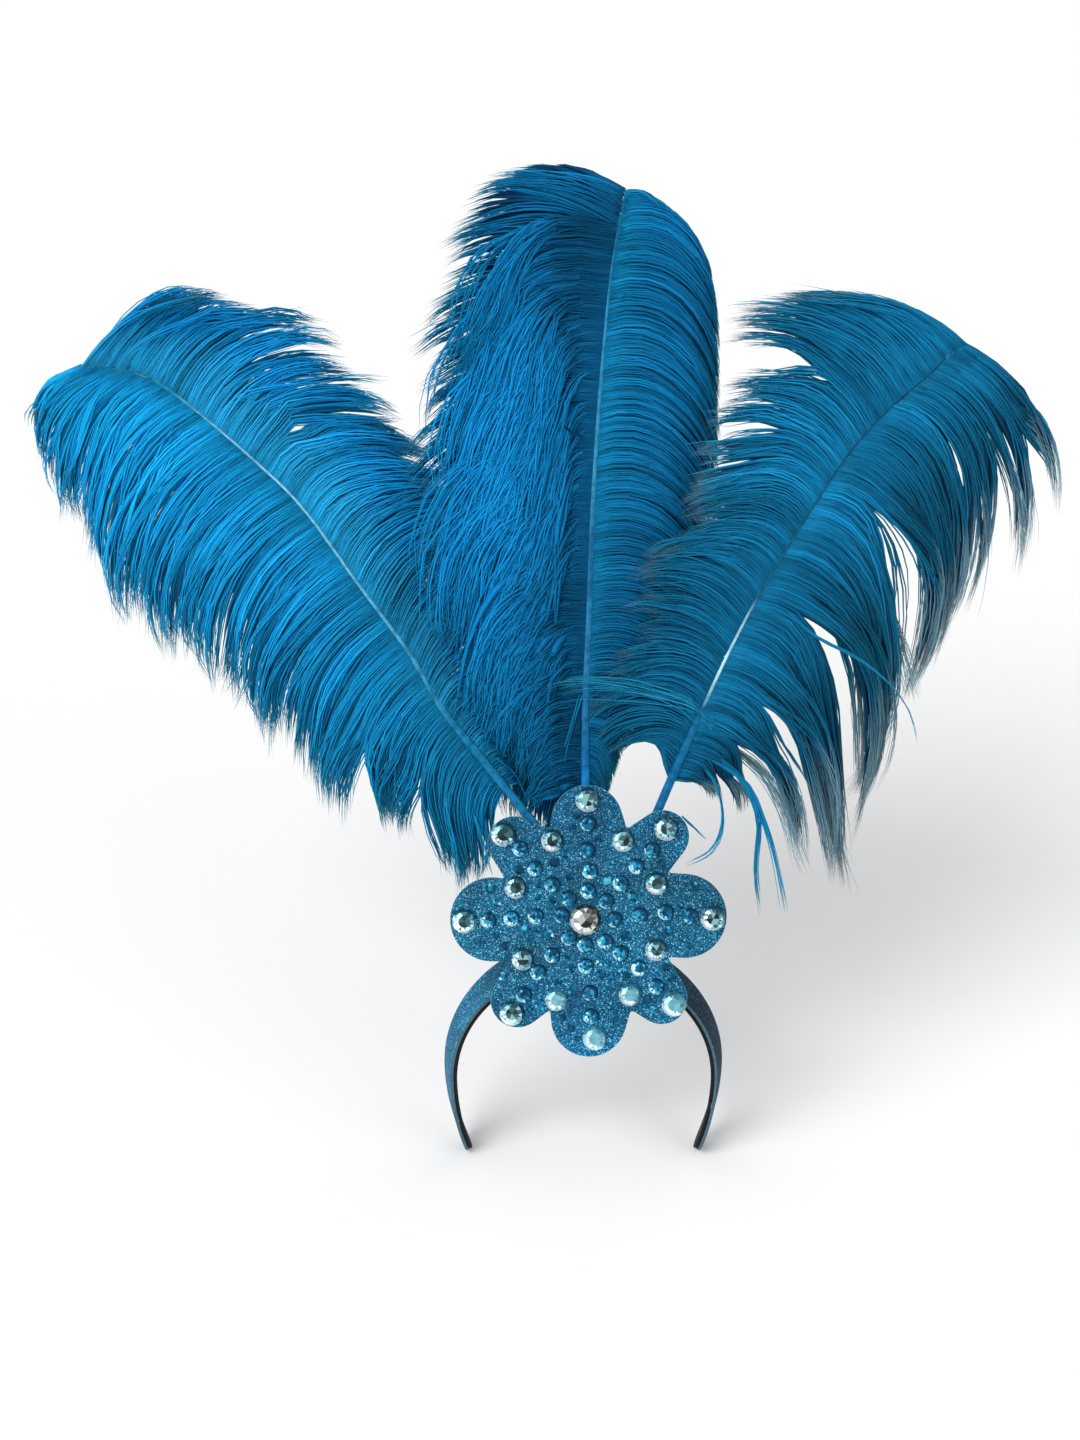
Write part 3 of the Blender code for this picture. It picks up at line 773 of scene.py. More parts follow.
def insideOutline(point, outline):
    x, y = point
    nextOnes = np.roll(outline, -1, axis=0)
    crosses = (outline[:, 1] > y) != (nextOnes[:, 1] > y)
    run = nextOnes[:, 1] - outline[:, 1]
    run = np.where(run == 0, 1e-12, run)
    at = (nextOnes[:, 0] - outline[:, 0]) * (y - outline[:, 1]) / run + outline[:, 0]
    return bool((crosses & (x < at)).sum() % 2)


def scatterChips(taken, rng):
    outline, _ = flowerOutline()
    most, within = chips["likelyInside"]
    placed = []
    for _ in range(chips["tries"]):
        spot = rng.uniform(-0.08, 0.08, 2)
        size = rng.uniform(*chips["sizes"])
        likely = chips["likely"] + most * math.exp(-((np.linalg.norm(spot) / within) ** 2))
        likely += chips["likelyBelow"] if spot[1] < -0.005 else 0.0
        if rng.uniform() > likely or not insideOutline(spot, outline):
            continue
        if np.linalg.norm(outline - spot, axis=1).min() < chips["fromEdge"]:
            continue
        if all(
            np.linalg.norm(spot - seat) >= (size + width) / 2 + chips["room"]
            for seat, width in taken + placed
        ):
            placed.append((spot, size))
    return placed


def makeChips(taken, finish):
    rng = np.random.default_rng(21)
    placed = scatterChips(taken, rng)
    sides, steps = chips["sides"], blueTones["facet"]
    ring = np.arange(sides) * math.tau / sides
    points, faces, tones = [], [], []
    for (x, y), size in placed:
        turn = ring + rng.uniform(0, math.tau)
        rows = [range(len(points) + low, len(points) + low + sides) for low in (0, sides, 2 * sides)]
        for reach, height in chips["rings"]:
            points += [(x + size * reach * math.cos(angle), y + size * reach * math.sin(angle),
                        leaning["gap"] + size * height) for angle in turn]
        for below, above in zip(rows, rows[1:]):
            faces += [(below[k - 1], below[k], above[k], above[k - 1]) for k in (*range(1, sides), 0)]
        faces += [tuple(rows[2]), tuple(reversed(rows[0]))]
        # each facet takes a painted reflection tone at random, a few of them glints
        level = rng.uniform(0.5, 2.6) + rng.normal(0, 0.9, 2 * sides + 2)
        tones += [steps[k] for k in np.clip(level, 0, len(steps) - 1).astype(int)]
    piece = newPiece("blueChips", toWorld(points), faces, finish)
    paintFaces(piece.data, tones)
    finishPiece(piece, "blueChips")
    print("chips:", len(placed))


# Plumes. A shaft's rows are (side, up, forward) in millimetres, root first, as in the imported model.
# A guide's rows run from the root to the tip of one side: the share of the shaft's length, the
# bearing a barb leaves at, where it ends (side, up) as the photograph shows it, and the bearing it
# ends with. Bearings are in degrees clockwise from the flower's up.
shafts = {
    "left": (
        (-61, 94, -10), (-86, 125, -20), (-102, 153, -27), (-134, 196, -34), (-167, 241, -38),
        (-195, 269, -38), (-235, 303, -32), (-257, 318, -24), (-274, 322, -15), (-287, 322, -7),
        (-293, 321, -3),
    ),
    "centre": (
        (0, 90, -5.6), (0, 127, -6), (2, 174, -8), (4, 233, -9), (7, 285, -8), (11, 337, -5),
        (15, 377, 1), (19, 401, 8), (21, 413, 13), (22, 419, 16),
    ),
    "right": (
        (50, 81, -5.6), (68, 123, 2), (82, 154, 6), (98, 185, 9), (112, 208, 11), (133, 242, 13),
        (152, 270, 15), (176, 296, 17), (194, 311, 22), (206, 323, 28), (214, 328, 32),
    ),
}
guides = {
    "leftLower": (
        (-0.07, 228, -53, 54, 182), (0.00, 228, -66, 18, 182), (0.053, 230, -81, 26, 182),
        (0.118, 232, -104, 49, 180), (0.216, 236, -136, 55, 180), (0.368, 240, -179, 106, 182),
        (0.529, 243, -213, 136, 178), (0.66, 245, -248, 162, 176), (0.794, 247, -278, 191, 172),
        (0.837, 248, -284, 216, 172), (0.90, 250, -302, 240, 172), (0.967, 252, -318, 274, 175),
        (1.0, 256, -320, 292, 190),
    ),
    "leftUpper": (
        (-0.07, 20, -36, 76, 150), (0.00, 10, -44, 100, 120), (0.119, 14, -46, 145, 112),
        (0.214, 16, -50, 190, 108), (0.37, 18, -62, 232, 110), (0.534, 20, -82, 258, 108),
        (0.647, 22, -103, 286, 110), (0.70, 22, -124, 311, 106), (0.794, 22, -152, 338, 104),
        (0.875, 24, -188, 354, 98), (0.927, 28, -210, 364, 90), (0.97, 31, -216, 363, 86),
        (1.0, 34, -224, 362, 81),
    ),
    "centreLeft": (
        (-0.05, 280, -12, 40, 180), (0.00, 285, -28, 44, 180), (0.11, 288, -54, 76, 186),
        (0.255, 292, -80, 126, 200), (0.43, 293, -97, 196, 210), (0.59, 295, -99, 264, 222),
        (0.75, 297, -95, 328, 234), (0.87, 299, -84, 382, 240), (0.94, 301, -72, 414, 246),
        (0.98, 303, -48, 434, 258), (1.0, 304, -22, 441, 280),
    ),
    "centreLocks": (
        (-0.05, 276, -14, 66, 180), (0.05, 276, -32, 80, 182), (0.14, 276, -48, 92, 184),
        (0.26, 277, -66, 106, 188), (0.40, 278, -84, 128, 191), (0.52, 279, -92, 158, 194),
        (0.64, 280, -92, 198, 198), (0.76, 281, -90, 246, 205), (0.86, 283, -86, 294, 216),
        (0.94, 286, -76, 342, 230),
    ),
    "centreRight": (
        (-0.05, 70, 6, 58, 180), (0.00, 65, 11, 68, 174), (0.11, 66, 28, 110, 164),
        (0.255, 66, 57, 146, 160), (0.43, 66, 68, 196, 162), (0.59, 66, 74, 240, 165),
        (0.75, 66, 78, 286, 168), (0.87, 66, 78, 332, 170), (0.94, 66, 75, 362, 167),
        (0.98, 68, 66, 386, 155), (1.0, 72, 48, 407, 138),
    ),
    "rightUpper": (
        (0.00, 330, 34, 114, 240), (0.07, 326, 14, 92, 196), (0.13, 322, 2, 120, 228),
        (0.19, 322, 8, 140, 262), (0.25, 324, 28, 166, 262), (0.333, 326, 28, 199, 262),
        (0.474, 330, 50, 218, 252), (0.586, 333, 60, 249, 255), (0.722, 335, 78, 306, 258),
        (0.80, 336, 79, 338, 262), (0.86, 334, 80, 354, 268), (0.90, 331, 104, 363, 271),
        (0.94, 326, 116, 363, 273), (0.98, 320, 128, 363, 275), (1.0, 316, 134, 362, 276),
    ),
    "rightLower": (
        (0.00, 98, 66, 74, 180), (0.13, 97, 117, 47, 176), (0.24, 97, 138, 25, 172),
        (0.39, 96, 155, 44, 184), (0.59, 94, 164, 95, 200), (0.755, 97, 194, 141, 199),
        (0.85, 101, 217, 180, 193), (0.89, 103, 231, 200, 190), (0.935, 105, 247, 205, 186),
        (0.98, 109, 269, 212, 180), (1.0, 116, 272, 238, 176),
    ),
}
blues = {
    "bright": (0.004, 0.288, 0.670),
    "azure": (0.003, 0.265, 0.680),
    "lapis": (0.003, 0.180, 0.450),
    "mid": (0.003, 0.215, 0.480),
    "deep": (0.002, 0.115, 0.290),
    "shade": (0.002, 0.070, 0.180),
    "navy": (0.001, 0.035, 0.105),
    "sky": (0.010, 0.290, 0.600),
    "cobalt": (0.003, 0.222, 0.570),
    "aqua": (0.010, 0.260, 0.490),
    "teal": (0.004, 0.185, 0.410),
    "darkTeal": (0.003, 0.095, 0.200),
    "night": (0.001, 0.024, 0.060),
    "haze": (0.030, 0.260, 0.440),
    "mist": (0.150, 0.340, 0.440),
}
# How each side's barbs look. Lengths are in millimetres, angles in degrees, and places along a barb
# or a shaft are shares. A lock is a wide group of barbs that ends in one point, and a tuft a small
# one inside it. openGaps is how much the rear barbs gather too, and turns how far tufts turn at their
# ends. These hold for every side that doesn't state its own.
plainBarbs = {
    "count": 2500, "under": 200, "steps": 9,  # fine barbs, wide dark ones behind them as painted shade, points in each
    "spread": ((0, 1), (0, 1)),  # how evenly they stand
    "width": 1.1, "tip": 0.3, "roll": 0.4, "blade": (0.06, 0.14),  # how thick, behind and in front
    "underWidth": 3.4, "underReach": 0.93, "underHold": 0.6, "underLayer": (0.5, 0.65),
    "strayHold": 0.25, "strayLayer": (-0.25, 0.2), "looserFrom": (0.3, 0.7),  # layers, from the front
    "lockHold": 0.45, "tuftHold": 0.6, "lockFrom": 0.4, "tuftFrom": 0.3,
    "tuftsStray": 0.10, "lockLengths": 0.6, "ownLength": (1.05, 0.35),  # at most, and how much less
    "partings": (), "parts": 0.11,  # how far along the shaft a parting pushes
    "depth": 5.0, "lift": 1.5, "arch": 7.0, "sinks": 0.3,  # arch and sinks: how far behind the shaft
    "behind": 0.4, "overShaft": 0.95, "frontLayers": 0.6,  # the front ones start over the shaft
    "near": 0.4, "far": 0.38,  # how straight a barb leaves and ends
    # barbs that curl over near the shaft: how far out the lowest reach, and how far they drop
    "fan": 1.0, "mixed": 0.0, "drops": 0.3, "uncurled": (0.66, 0.92),  # where they grow rarer
    "clear": 0.0, "nearest": 0.75, "outward": 0.0, "falls": 0.0,  # these hang clear of the shaft
    "leavesDiffer": 2.5, "short": 60,  # shorter barbs turn and swing less
    "swing": 4.5, "lockSwing": 0.6, "tuftSwing": 0.4, "ownSwing": 0.22, "straySwing": 3.0,
    "ways": (1, 1, 0.4), "wave": 1.2, "rate": (0.8, 1.8), "outOfStep": 0.7, "frizz": 0.2,
    "shows": 0.55, "beside": ((0, 1),), "uneven": 1.0,
    "lockTone": 0.08, "tuftTone": 0.13, "ownTone": 0.09, "strayTone": 1.25, "levels": (0.3, 1.8),
    "shaded": (0.3, 0.55, 0.8, 0.95),  # layers where the shade sets in, is full, wanes and ends
    "shade": (0.35, 0.65), "fineShade": 0.7,  # at the root, and how much more at the tip
}
barbStyles = {
    "leftLower": {
        "under": 220, "width": 1.15, "locks": 34, "tufts": 150, "lockFrom": 0.45, "tuftFrom": 0.4,
        "openGaps": 0.18, "turns": 22, "wave": 1.5, "lengths": 0.09, "swing": 4.4, "strays": 0.05,
        "partings": ((0.085, 0.030, (0.5, 0.95), (0, 1)), (0.195, 0.032, (0.5, 0.95), (0, 1))),
        "tones": ((0, "mid"), (0.25, "bright"), (0.75, "bright"), (0.92, "mid"), (1, "haze")),
        "back": "shade", "along": ((0, 0.52), (0.25, 0.76), (0.6, 1.08), (0.9, 1.6), (1, 1.55)),
    },
    "leftUpper": {
        "spread": ((0, 0.33, 0.7, 1), (0, 0.42, 0.67, 1)), "under": 220, "locks": 26, "tufts": 140,
        "lockHold": 0.5, "tuftHold": 0.65, "openGaps": 0.3, "turns": 20,
        "wave": 1.4, "lengths": 0.12, "swing": 5.5, "strays": 0.10,
        "partings": ((0.64, 0.012, (0.2, 0.38, 0.6), (0, 1, 0)), (0.90, 0.02, (0.6, 1), (0, 1))),
        "tones": ((0, "sky"), (0.3, "sky"), (0.5, "cobalt"), (0.92, "cobalt"), (1, "haze")),
        "back": "shade", "along": ((0, 0.55), (0.3, 0.7), (0.5, 0.98), (0.8, 1.1), (1, 1.0)),
    },
    "centreLeft": {
        "count": 1500, "under": 240, "width": 1.2, "locks": 17, "tufts": 66, "lockFrom": 0.5,
        "tuftFrom": 0.35, "openGaps": 0.12, "turns": 16, "depth": 6.0, "lift": 0.0,
        "lengths": 0.08, "strays": 0.06,
        "tones": ((0, "deep"), (0.12, "deep"), (0.4, "lapis"), (0.92, "lapis"), (1, "haze")),
        "along": ((0, 0.5), (0.2, 0.9), (0.7, 1.05), (0.85, 0.95), (1, 0.9)),
        "back": "navy", "shows": 0.8,
    },
    "centreLocks": {
        "spread": ((0, 0.75, 0.93, 1), (0, 0.68, 0.88, 1)), "count": 3300, "under": 160, "steps": 10,
        "width": 1.3, "locks": 40, "tufts": 210, "lockHold": 0.25, "lockFrom": 0.3, "tuftFrom": 0.4,
        "openGaps": 0.5, "turns": 20, "depth": 4.0, "lift": 7.0, "wave": 2.6, "rate": (1.2, 2.2),
        "mixed": 0.09, "lengths": 0.16, "swing": 6.0, "fan": 0.0, "strays": 0.08,
        "outward": 0.85, "falls": 0.6, "clear": 30.0, "arch": 3.0, "sinks": 0.05, "uneven": 0.5,
        "tones": ((0, "deep"), (0.2, "deep"), (0.42, "azure"), (1, "azure")), "back": "lapis",
        # painted shade on the barbs beside the shaft, under the locks: a factor by millimetres from it
        "beside": ((12, 1.0), (16, 0.58), (26, 0.66), (38, 0.82), (50, 0.96), (62, 1.06)),
        "frizz": 0.7, "roll": 0.15,
        "along": ((0, 0.4), (0.25, 0.70), (0.6, 1.0), (0.76, 0.94), (0.94, 0.6)), "shows": 0.8,
    },
    "centreRight": {
        "under": 260, "locks": 20, "tufts": 130, "lockHold": 0.0, "tuftHold": 0.2, "tuftFrom": 0.4,
        "openGaps": 0.0, "turns": 5, "wave": 0.5, "lengths": 0.03, "swing": 1.3, "strays": 0.03,
        "tones": ((0, "mid"), (0.1, "mid"), (0.3, "lapis"), (0.6, "lapis"), (0.85, "deep"), (1, "deep")),
        "along": ((0, 0.6), (0.25, 0.68), (0.45, 0.8), (0.7, 0.88), (1, 0.75)),
        "back": "navy", "shows": 0.8,
    },
    "rightUpper": {
        "spread": ((0, 0.36, 0.72, 1), (0, 0.40, 0.66, 1)), "locks": 26, "tufts": 120, "tuftHold": 0.65,
        "partings": ((0.665, 0.012, (0.4, 0.8), (0, 1)), (0.765, 0.018, (0.4, 0.8), (0, 1))),
        "openGaps": 0.2, "turns": 14, "lengths": 0.12, "strays": 0.08, "tip": 0.2,
        "tones": ((0, "teal"), (0.3, "teal"), (0.75, "teal"), (0.88, "aqua"), (1, "mist")),
        "back": "shade", "along": ((0, 0.55), (0.3, 0.68), (0.6, 0.86), (1, 0.9)), "shows": 0.45,
    },
    "rightLower": {
        "count": 2400, "steps": 12, "width": 1.15, "tufts": 110,
        "locks": (0, 0.06, 0.13, 0.21, 0.30, 0.395, 0.52, 0.64, 0.72, 0.80, 0.86, 0.91, 0.955, 1),
        "partings": (
            (0.11, 0.034, (0.30, 0.70), (0, 1)), (0.20, 0.036, (0.22, 0.62), (0, 1)),
            (0.385, 0.058, (0.12, 0.70, 1), (0, 1, 0.6)), (0.635, 0.072, (0.20, 0.78, 1), (0, 1, 0.7)),
            (0.80, 0.012, (0.6, 1), (0, 1)), (0.86, 0.017, (0.5, 0.9), (0, 1)),
            (0.91, 0.020, (0.45, 0.85), (0, 1)), (0.955, 0.020, (0.45, 0.85), (0, 1)),
        ),
        "lockFrom": 0.5, "openGaps": 0.5, "turns": 10, "lengths": 0.10, "swing": 4.0, "lockSwing": 0.15,
        "strays": 0.04, "near": 0.3, "far": 0.48, "tip": 0.15,
        "tones": (
            (0, "teal"), (0.2, "teal"), (0.45, "darkTeal"), (0.64, "darkTeal"),
            (0.86, "mist"), (1, "mist"),
        ),
        "back": "night", "along": ((0, 0.75), (0.5, 0.9), (1, 1.0)), "shows": 0.45,
    },
}
shaftRadius = {"root": 2.6, "tip": 0.5}


def smoothShaft(rows, count=200):
    # a smooth curve through the shaft's rows, evenly spaced, in metres
    table = np.array(rows, float)
    ends = np.concatenate([[2 * table[0] - table[1]], table, [2 * table[-1] - table[-2]]])
    steps = np.linalg.norm(np.diff(table, axis=0), axis=1)
    along = np.concatenate([[0], np.cumsum(steps)])
    made = []
    for place in np.linspace(0, along[-1], count):
        k = min(int(np.searchsorted(along, place, side="right")) - 1, len(rows) - 2)
        t = (place - along[k]) / (along[k + 1] - along[k])
        before, here, after, beyond = ends[k : k + 4]
        made.append(
            here + 0.5 * t * (after - before)
            + t * t * (before - 2.5 * here + 2 * after - 0.5 * beyond)
            + t**3 * (1.5 * (here - after) + 0.5 * (beyond - before))
        )
    return np.array(made) * mm


def barbRoots(rows, quill=24.0):
    # shares of the shaft's length and the points there; the lowest barbs grow on the quill, below 0
    shaft = smoothShaft(rows)
    back = (np.array(rows[0]) - np.array(rows[1])) * mm
    lowest = shaft[0] + back / np.linalg.norm(back[:2]) * quill * mm
    lowest[2] = shaft[0][2]
    length = np.linalg.norm(np.diff(shaft, axis=0), axis=1).sum()
    shares = np.concatenate([[-quill * mm / length], np.linspace(0, 1, len(shaft))])
    return shares, np.vstack([lowest, shaft])


def smoothGuide(rows, count=240):
    # the guide's rows at even shares, on a monotone smooth curve through them
    table = np.array(rows, float)
    share = table[:, 0]
    slope = np.gradient(table, share, axis=0)
    at = np.linspace(share[0], share[-1], count)
    k = np.clip(np.searchsorted(share, at, side="right") - 1, 0, len(share) - 2)
    span = (share[k + 1] - share[k])[:, None]
    t = ((at - share[k]) / (share[k + 1] - share[k]))[:, None]
    low, high = table[k], table[k + 1]
    even = (high - low) / span
    first, last = (
        np.where(own * even > 0, np.sign(even) * np.minimum(abs(own), 3 * abs(even)), 0)
        for own in (slope[k], slope[k + 1])
    )
    made = (
        low * (1 + 2 * t) * (1 - t) ** 2 + high * t * t * (3 - 2 * t)
        + first * span * t * (1 - t) ** 2 - last * span * t * t * (1 - t)
    )
    made[:, 0] = at
    return made


def splitPlaces(count, low, high, rng):
    # middles of uneven neighbouring stretches, and the bounds between them
    edges = np.linspace(low, high, count + 1)
    edges[1:-1] += rng.uniform(-0.33, 0.33, count - 1) * (high - low) / count
    return (edges[:-1] + edges[1:]) / 2, edges


def clumps(style, guide, share, rng):
    # Which tuft and lock each barb is in, and the share of the shaft that each of them gathers at
    low, high = guide[0, 0], guide[-1, 0]
    if isinstance(style["locks"], int):
        lockAt, lockEdges = splitPlaces(style["locks"], low, high, rng)
    else:
        lockEdges = np.array(style["locks"], float)
        lockAt = (lockEdges[:-1] + lockEdges[1:]) / 2
    tuftAt, tuftEdges = splitPlaces(style["tufts"], low, high, rng)
    tuft = np.clip(np.searchsorted(tuftEdges, share) - 1, 0, len(tuftAt) - 1)
    # a few tufts stray into the next lock
    meant = tuftAt + rng.normal(0, style["tuftsStray"], len(tuftAt)) * np.diff(lockEdges).mean()
    tuftLock = np.clip(np.searchsorted(lockEdges, meant) - 1, 0, len(lockAt) - 1)
    return tuftAt, tuft, lockAt, tuftLock[tuft]


def placeBarbs(style, guide, rng):
    # where barbs grow, and how much their tufts and locks hold them. The first ones are wide and dark,
    # painted shade: they lie in the middle of the vane's depth, where they close it behind the fine
    # ones.
    low, high = guide[0, 0], guide[-1, 0]
    counts = style["under"], style["count"]
    count = sum(counts)
    fine = np.arange(count) >= style["under"]
    even = np.concatenate([(np.arange(n) + rng.uniform(0, 1, n)) / n for n in counts])
    share = low + (high - low) * np.interp(even, *style["spread"])
    tuftAt, tuft, lockAt, lock = clumps(style, guide, share, rng)
    # a barb's layer is 0 in front and 1 at the back
    layer = np.where(fine, rng.uniform(0, 1, count), rng.uniform(*style["underLayer"], count))
    stray = fine & (rng.uniform(0, 1, count) < style["strays"])
    layer = np.where(stray, rng.uniform(*style["strayLayer"], count), layer)
    loose = 1 - (1 - style["openGaps"]) * ease(layer, *style["looserFrom"])
    loose = np.where(fine, loose, style["underHold"] * style["openGaps"])
    loose = np.where(stray, style["strayHold"] * loose, loose)
    longest, less = style["ownLength"]
    reach = (
        (1 + rng.uniform(-1, 0.5, len(lockAt)) * style["lengths"] * style["lockLengths"])[lock]
        * (1 + rng.uniform(-1, 0.4, len(tuftAt)) * style["lengths"])[tuft]
        * (longest - rng.beta(1.2, 5, count) * less)
        * np.where(fine, 1.0, style["underReach"])
    )
    return SimpleNamespace(
        count=count, fine=fine, share=share, layer=layer, stray=stray, loose=loose, reach=reach,
        tuftAt=tuftAt, tuft=tuft, lockAt=lockAt, lock=lock,
        perLock=lambda spread, *more: rng.normal(0, spread, (len(lockAt), *more))[lock],
        perTuft=lambda spread, *more: rng.normal(0, spread, (len(tuftAt), *more))[tuft],
    )


def gatherBarbs(barbs, style, s):
    # the share of the shaft that each point of a barb is drawn towards
    at, loose = barbs.share[:, None], barbs.loose[:, None]
    for kind, middles in (("tuft", barbs.tuftAt[barbs.tuft]), ("lock", barbs.lockAt[barbs.lock])):
        drawn = (middles[:, None] - at) * ease(s, style[f"{kind}From"]) * style[f"{kind}Hold"] * loose
        at = at + drawn
    # partings push the barbs beside them apart: (share, how far as a share, places along a barb,
    # how open the parting is there)
    parted = 0
    for place, push, places, opened in style["partings"]:
        away = barbs.share - place
        beside = np.sign(away) * push * (1 - ease(abs(away), 0.0, style["parts"]))
        opening = np.interp(s, places, opened)
        parted = parted + beside[:, None] * opening**2 * (3 - 2 * opening)
    return at + parted


def bezier(t, start, near, far, end):
    rest = 1 - t
    return rest**3 * start + 3 * rest**2 * t * near + 3 * rest * t**2 * far + t**3 * end


def heading(bearing):
    return np.stack([np.sin(bearing), np.cos(bearing)], axis=-1)


def bendBarbs(barbs, style, guide, roots, at, t, rng):
    # each barb's curve from the shaft to where the guide has it end, in (side, up, forward)
    along, shaft = roots
    root, start = (readAt(places, along, shaft) for places in (at, barbs.share[:, None]))
    rootSide, rootUp, rootForward = np.moveaxis(root, -1, 0)
    leaves, endSide, endUp, arrives = np.moveaxis(readAt(at, guide[:, 0], guide[:, 1:]), -1, 0)
    endSide, endUp = endSide * mm, endUp * mm
    # barbs that curl over near the shaft hang lower
    apart = rng.uniform(0, 1, len(barbs.tuftAt))[barbs.tuft] + rng.normal(0, style["mixed"], barbs.count)
    apart = apart.clip(0, 1) * (1 - 0.8 * ease(barbs.share, *style["uncurled"]))
    fan = 1 - (1 - style["fan"]) * apart[:, None]
    clear = np.sign(endSide - rootSide) * style["clear"] * mm
    endSide = rootSide + clear + (endSide - rootSide - clear) * fan
    endUp = endUp - (1 - fan) * style["drops"] * np.maximum(0, rootUp - endUp)
    arch, sinks = style["arch"] * mm, style["sinks"]
    fall = arch + sinks * np.maximum(0, rootUp - endUp)
    end = np.stack(alongSight(endSide, endUp, rootForward - fall), axis=-1)
    leaves = np.radians(leaves) + np.radians(rng.normal(0, style["leavesDiffer"], barbs.count))[:, None]
    chordSide, chordUp = np.moveaxis(end - root[..., :2], -1, 0)
    chord = np.hypot(chordSide, chordUp)
    barbs.short = np.minimum(1, chord[:, -1] / (style["short"] * mm))
    turned = barbs.perTuft(style["turns"]) * barbs.loose * barbs.short
    arrives = np.radians(arrives + turned[:, None])
    near, far = chord * style["near"], chord * style["far"]
    if style["outward"]:  # these reach out first and then hang
        near, far = abs(chordSide) * style["outward"], abs(chordUp) * style["falls"]
    nearBy = root[..., :2] + near[..., None] * heading(leaves)
    farOff = end - far[..., None] * heading(arrives)
    if style["clear"]:  # none comes back over the shaft
        nearest = rootSide + style["nearest"] * clear
        farOff[..., 0] = np.where((farOff[..., 0] - nearest) * clear < 0, nearest, farOff[..., 0])
    place = bezier(t[..., None], root[..., :2], nearBy, farOff, end)
    # gathering doesn't drag the roots along the shaft
    place = place + (start - root)[..., :2] * (1 - ease(t, 0.0, 0.3))[..., None]
    behind = style["behind"] * mm
    forward = (
        rootForward - behind - arch * t**2 - sinks * np.maximum(0, start[..., 1] - place[..., 1])
        + style["lift"] * mm * ease(t, 0.02, 0.4) * (1 - 0.5 * ease(t, 0.6))
        - barbs.layer[:, None] * style["depth"] * mm * ease(t, 0.0, 0.25) * (1 - 0.55 * t)
    )
    # the first ones start on the front of the shaft and leave only its middle bare
    thinner = shaftRadius["tip"] - shaftRadius["root"]
    radius = (shaftRadius["root"] + thinner * barbs.share.clip(0, 1)) * mm
    over = radius * ease(barbs.share, 0.0, 0.15) * (barbs.fine & (barbs.layer < style["frontLayers"]))
    rooted = 1 - ease(t, 0.0, 0.1)
    place = place + (style["shows"] * radius[:, None] * rooted)[..., None] * heading(leaves)
    over = style["overShaft"] * math.sqrt(1 - style["shows"] ** 2) * over
    forward = forward + (over + behind)[:, None] * rooted
    barbs.fromShaft = abs(place[..., 0] - np.interp(place[..., 1], shaft[:, 1], shaft[:, 0])) / mm
    return np.concatenate([place, forward[..., None]], axis=-1)


def swayBarbs(barbs, style, courses, t, rng):
    # whole locks and tufts swing a little, and each barb has its own gentle wave
    swing, count = style["swing"] * mm, barbs.count
    wilder = np.where(barbs.stray, style["straySwing"], 1.0)[:, None]
    lockSwing = barbs.perLock(swing * style["lockSwing"], 3)
    tuftSwing = barbs.perTuft(swing * style["tuftSwing"], 3)
    own = rng.normal(0, swing * style["ownSwing"], (count, 3)) * wilder
    together = (lockSwing + tuftSwing) * barbs.loose[:, None] + own
    courses += (together * barbs.short[:, None] * style["ways"])[:, None, :] * (t**2)[:, :, None]
    # a tuft's barbs wave nearly together
    tufts = (2, len(barbs.tuftAt), 1)
    phase = rng.uniform(0, math.tau, tufts)[:, barbs.tuft]
    phase = phase + rng.normal(0, style["outOfStep"], (2, count, 1))
    rate = rng.uniform(*style["rate"], tufts)[:, barbs.tuft] * rng.uniform(0.9, 1.1, (2, count, 1))
    wave = style["wave"] * mm * rng.uniform(0.3, 1.3, (count, 1)) * ease(t, 0.1)
    wave = wave * ((barbs.loose * barbs.short)[:, None] * wilder)
    run = unit(np.gradient(courses[..., :2], axis=1))
    sway = wave * np.sin(phase[0] + math.tau * rate[0] * t)
    courses[..., 0] -= run[..., 1] * sway
    courses[..., 1] += run[..., 0] * sway
    courses[..., 2] += 0.8 * wave * np.sin(phase[1] + math.tau * rate[1] * t)
    # down makes them slightly uneven
    frizz = rng.normal(0, style["frizz"] * mm, courses.shape)
    courses += frizz * (ease(t, 0.05, 0.3) * barbs.short[:, None])[..., None]


def toneBarbs(barbs, style, s, rng):
    # tones change along a barb and along the shaft, and differ from barb to barb
    places, names = zip(*style["tones"])
    tone = readAt(s[0], places, [blues[name] for name in names])
    uneven = style["uneven"]
    level = 1 + barbs.perLock(style["lockTone"] * uneven)
    level = level * (1 + barbs.perTuft(style["tuftTone"] * uneven))
    level = level * (1 + rng.normal(0, style["ownTone"] * uneven, barbs.count))
    level = level * np.interp(barbs.share, *zip(*style["along"]))
    level = level * np.where(barbs.stray, style["strayTone"], 1.0)
    # some get a painted shade near the shaft, where the locks over them shade it, by how far a place is
    # from it in millimetres
    beside = np.interp(barbs.fromShaft, *zip(*style["beside"]))
    tone = tone[None] * level.clip(*style["levels"])[:, None, None] * beside[..., None]
    # those in the middle of the depth lie in the shade of the rest, most of all towards their ends
    starts, full, ends, none = style["shaded"]
    shaded = ease(barbs.layer, starts, full) * (1 - 0.8 * ease(barbs.layer, ends, none))
    shaded = shaded * np.where(barbs.fine, style["fineShade"], 1.0)
    least, more = style["shade"]
    shaded = (shaded[:, None] * (least + more * ease(s, 0.15, 0.8)))[..., None]
    return tone * (1 - shaded) + np.array(blues[style["back"]]) * shaded


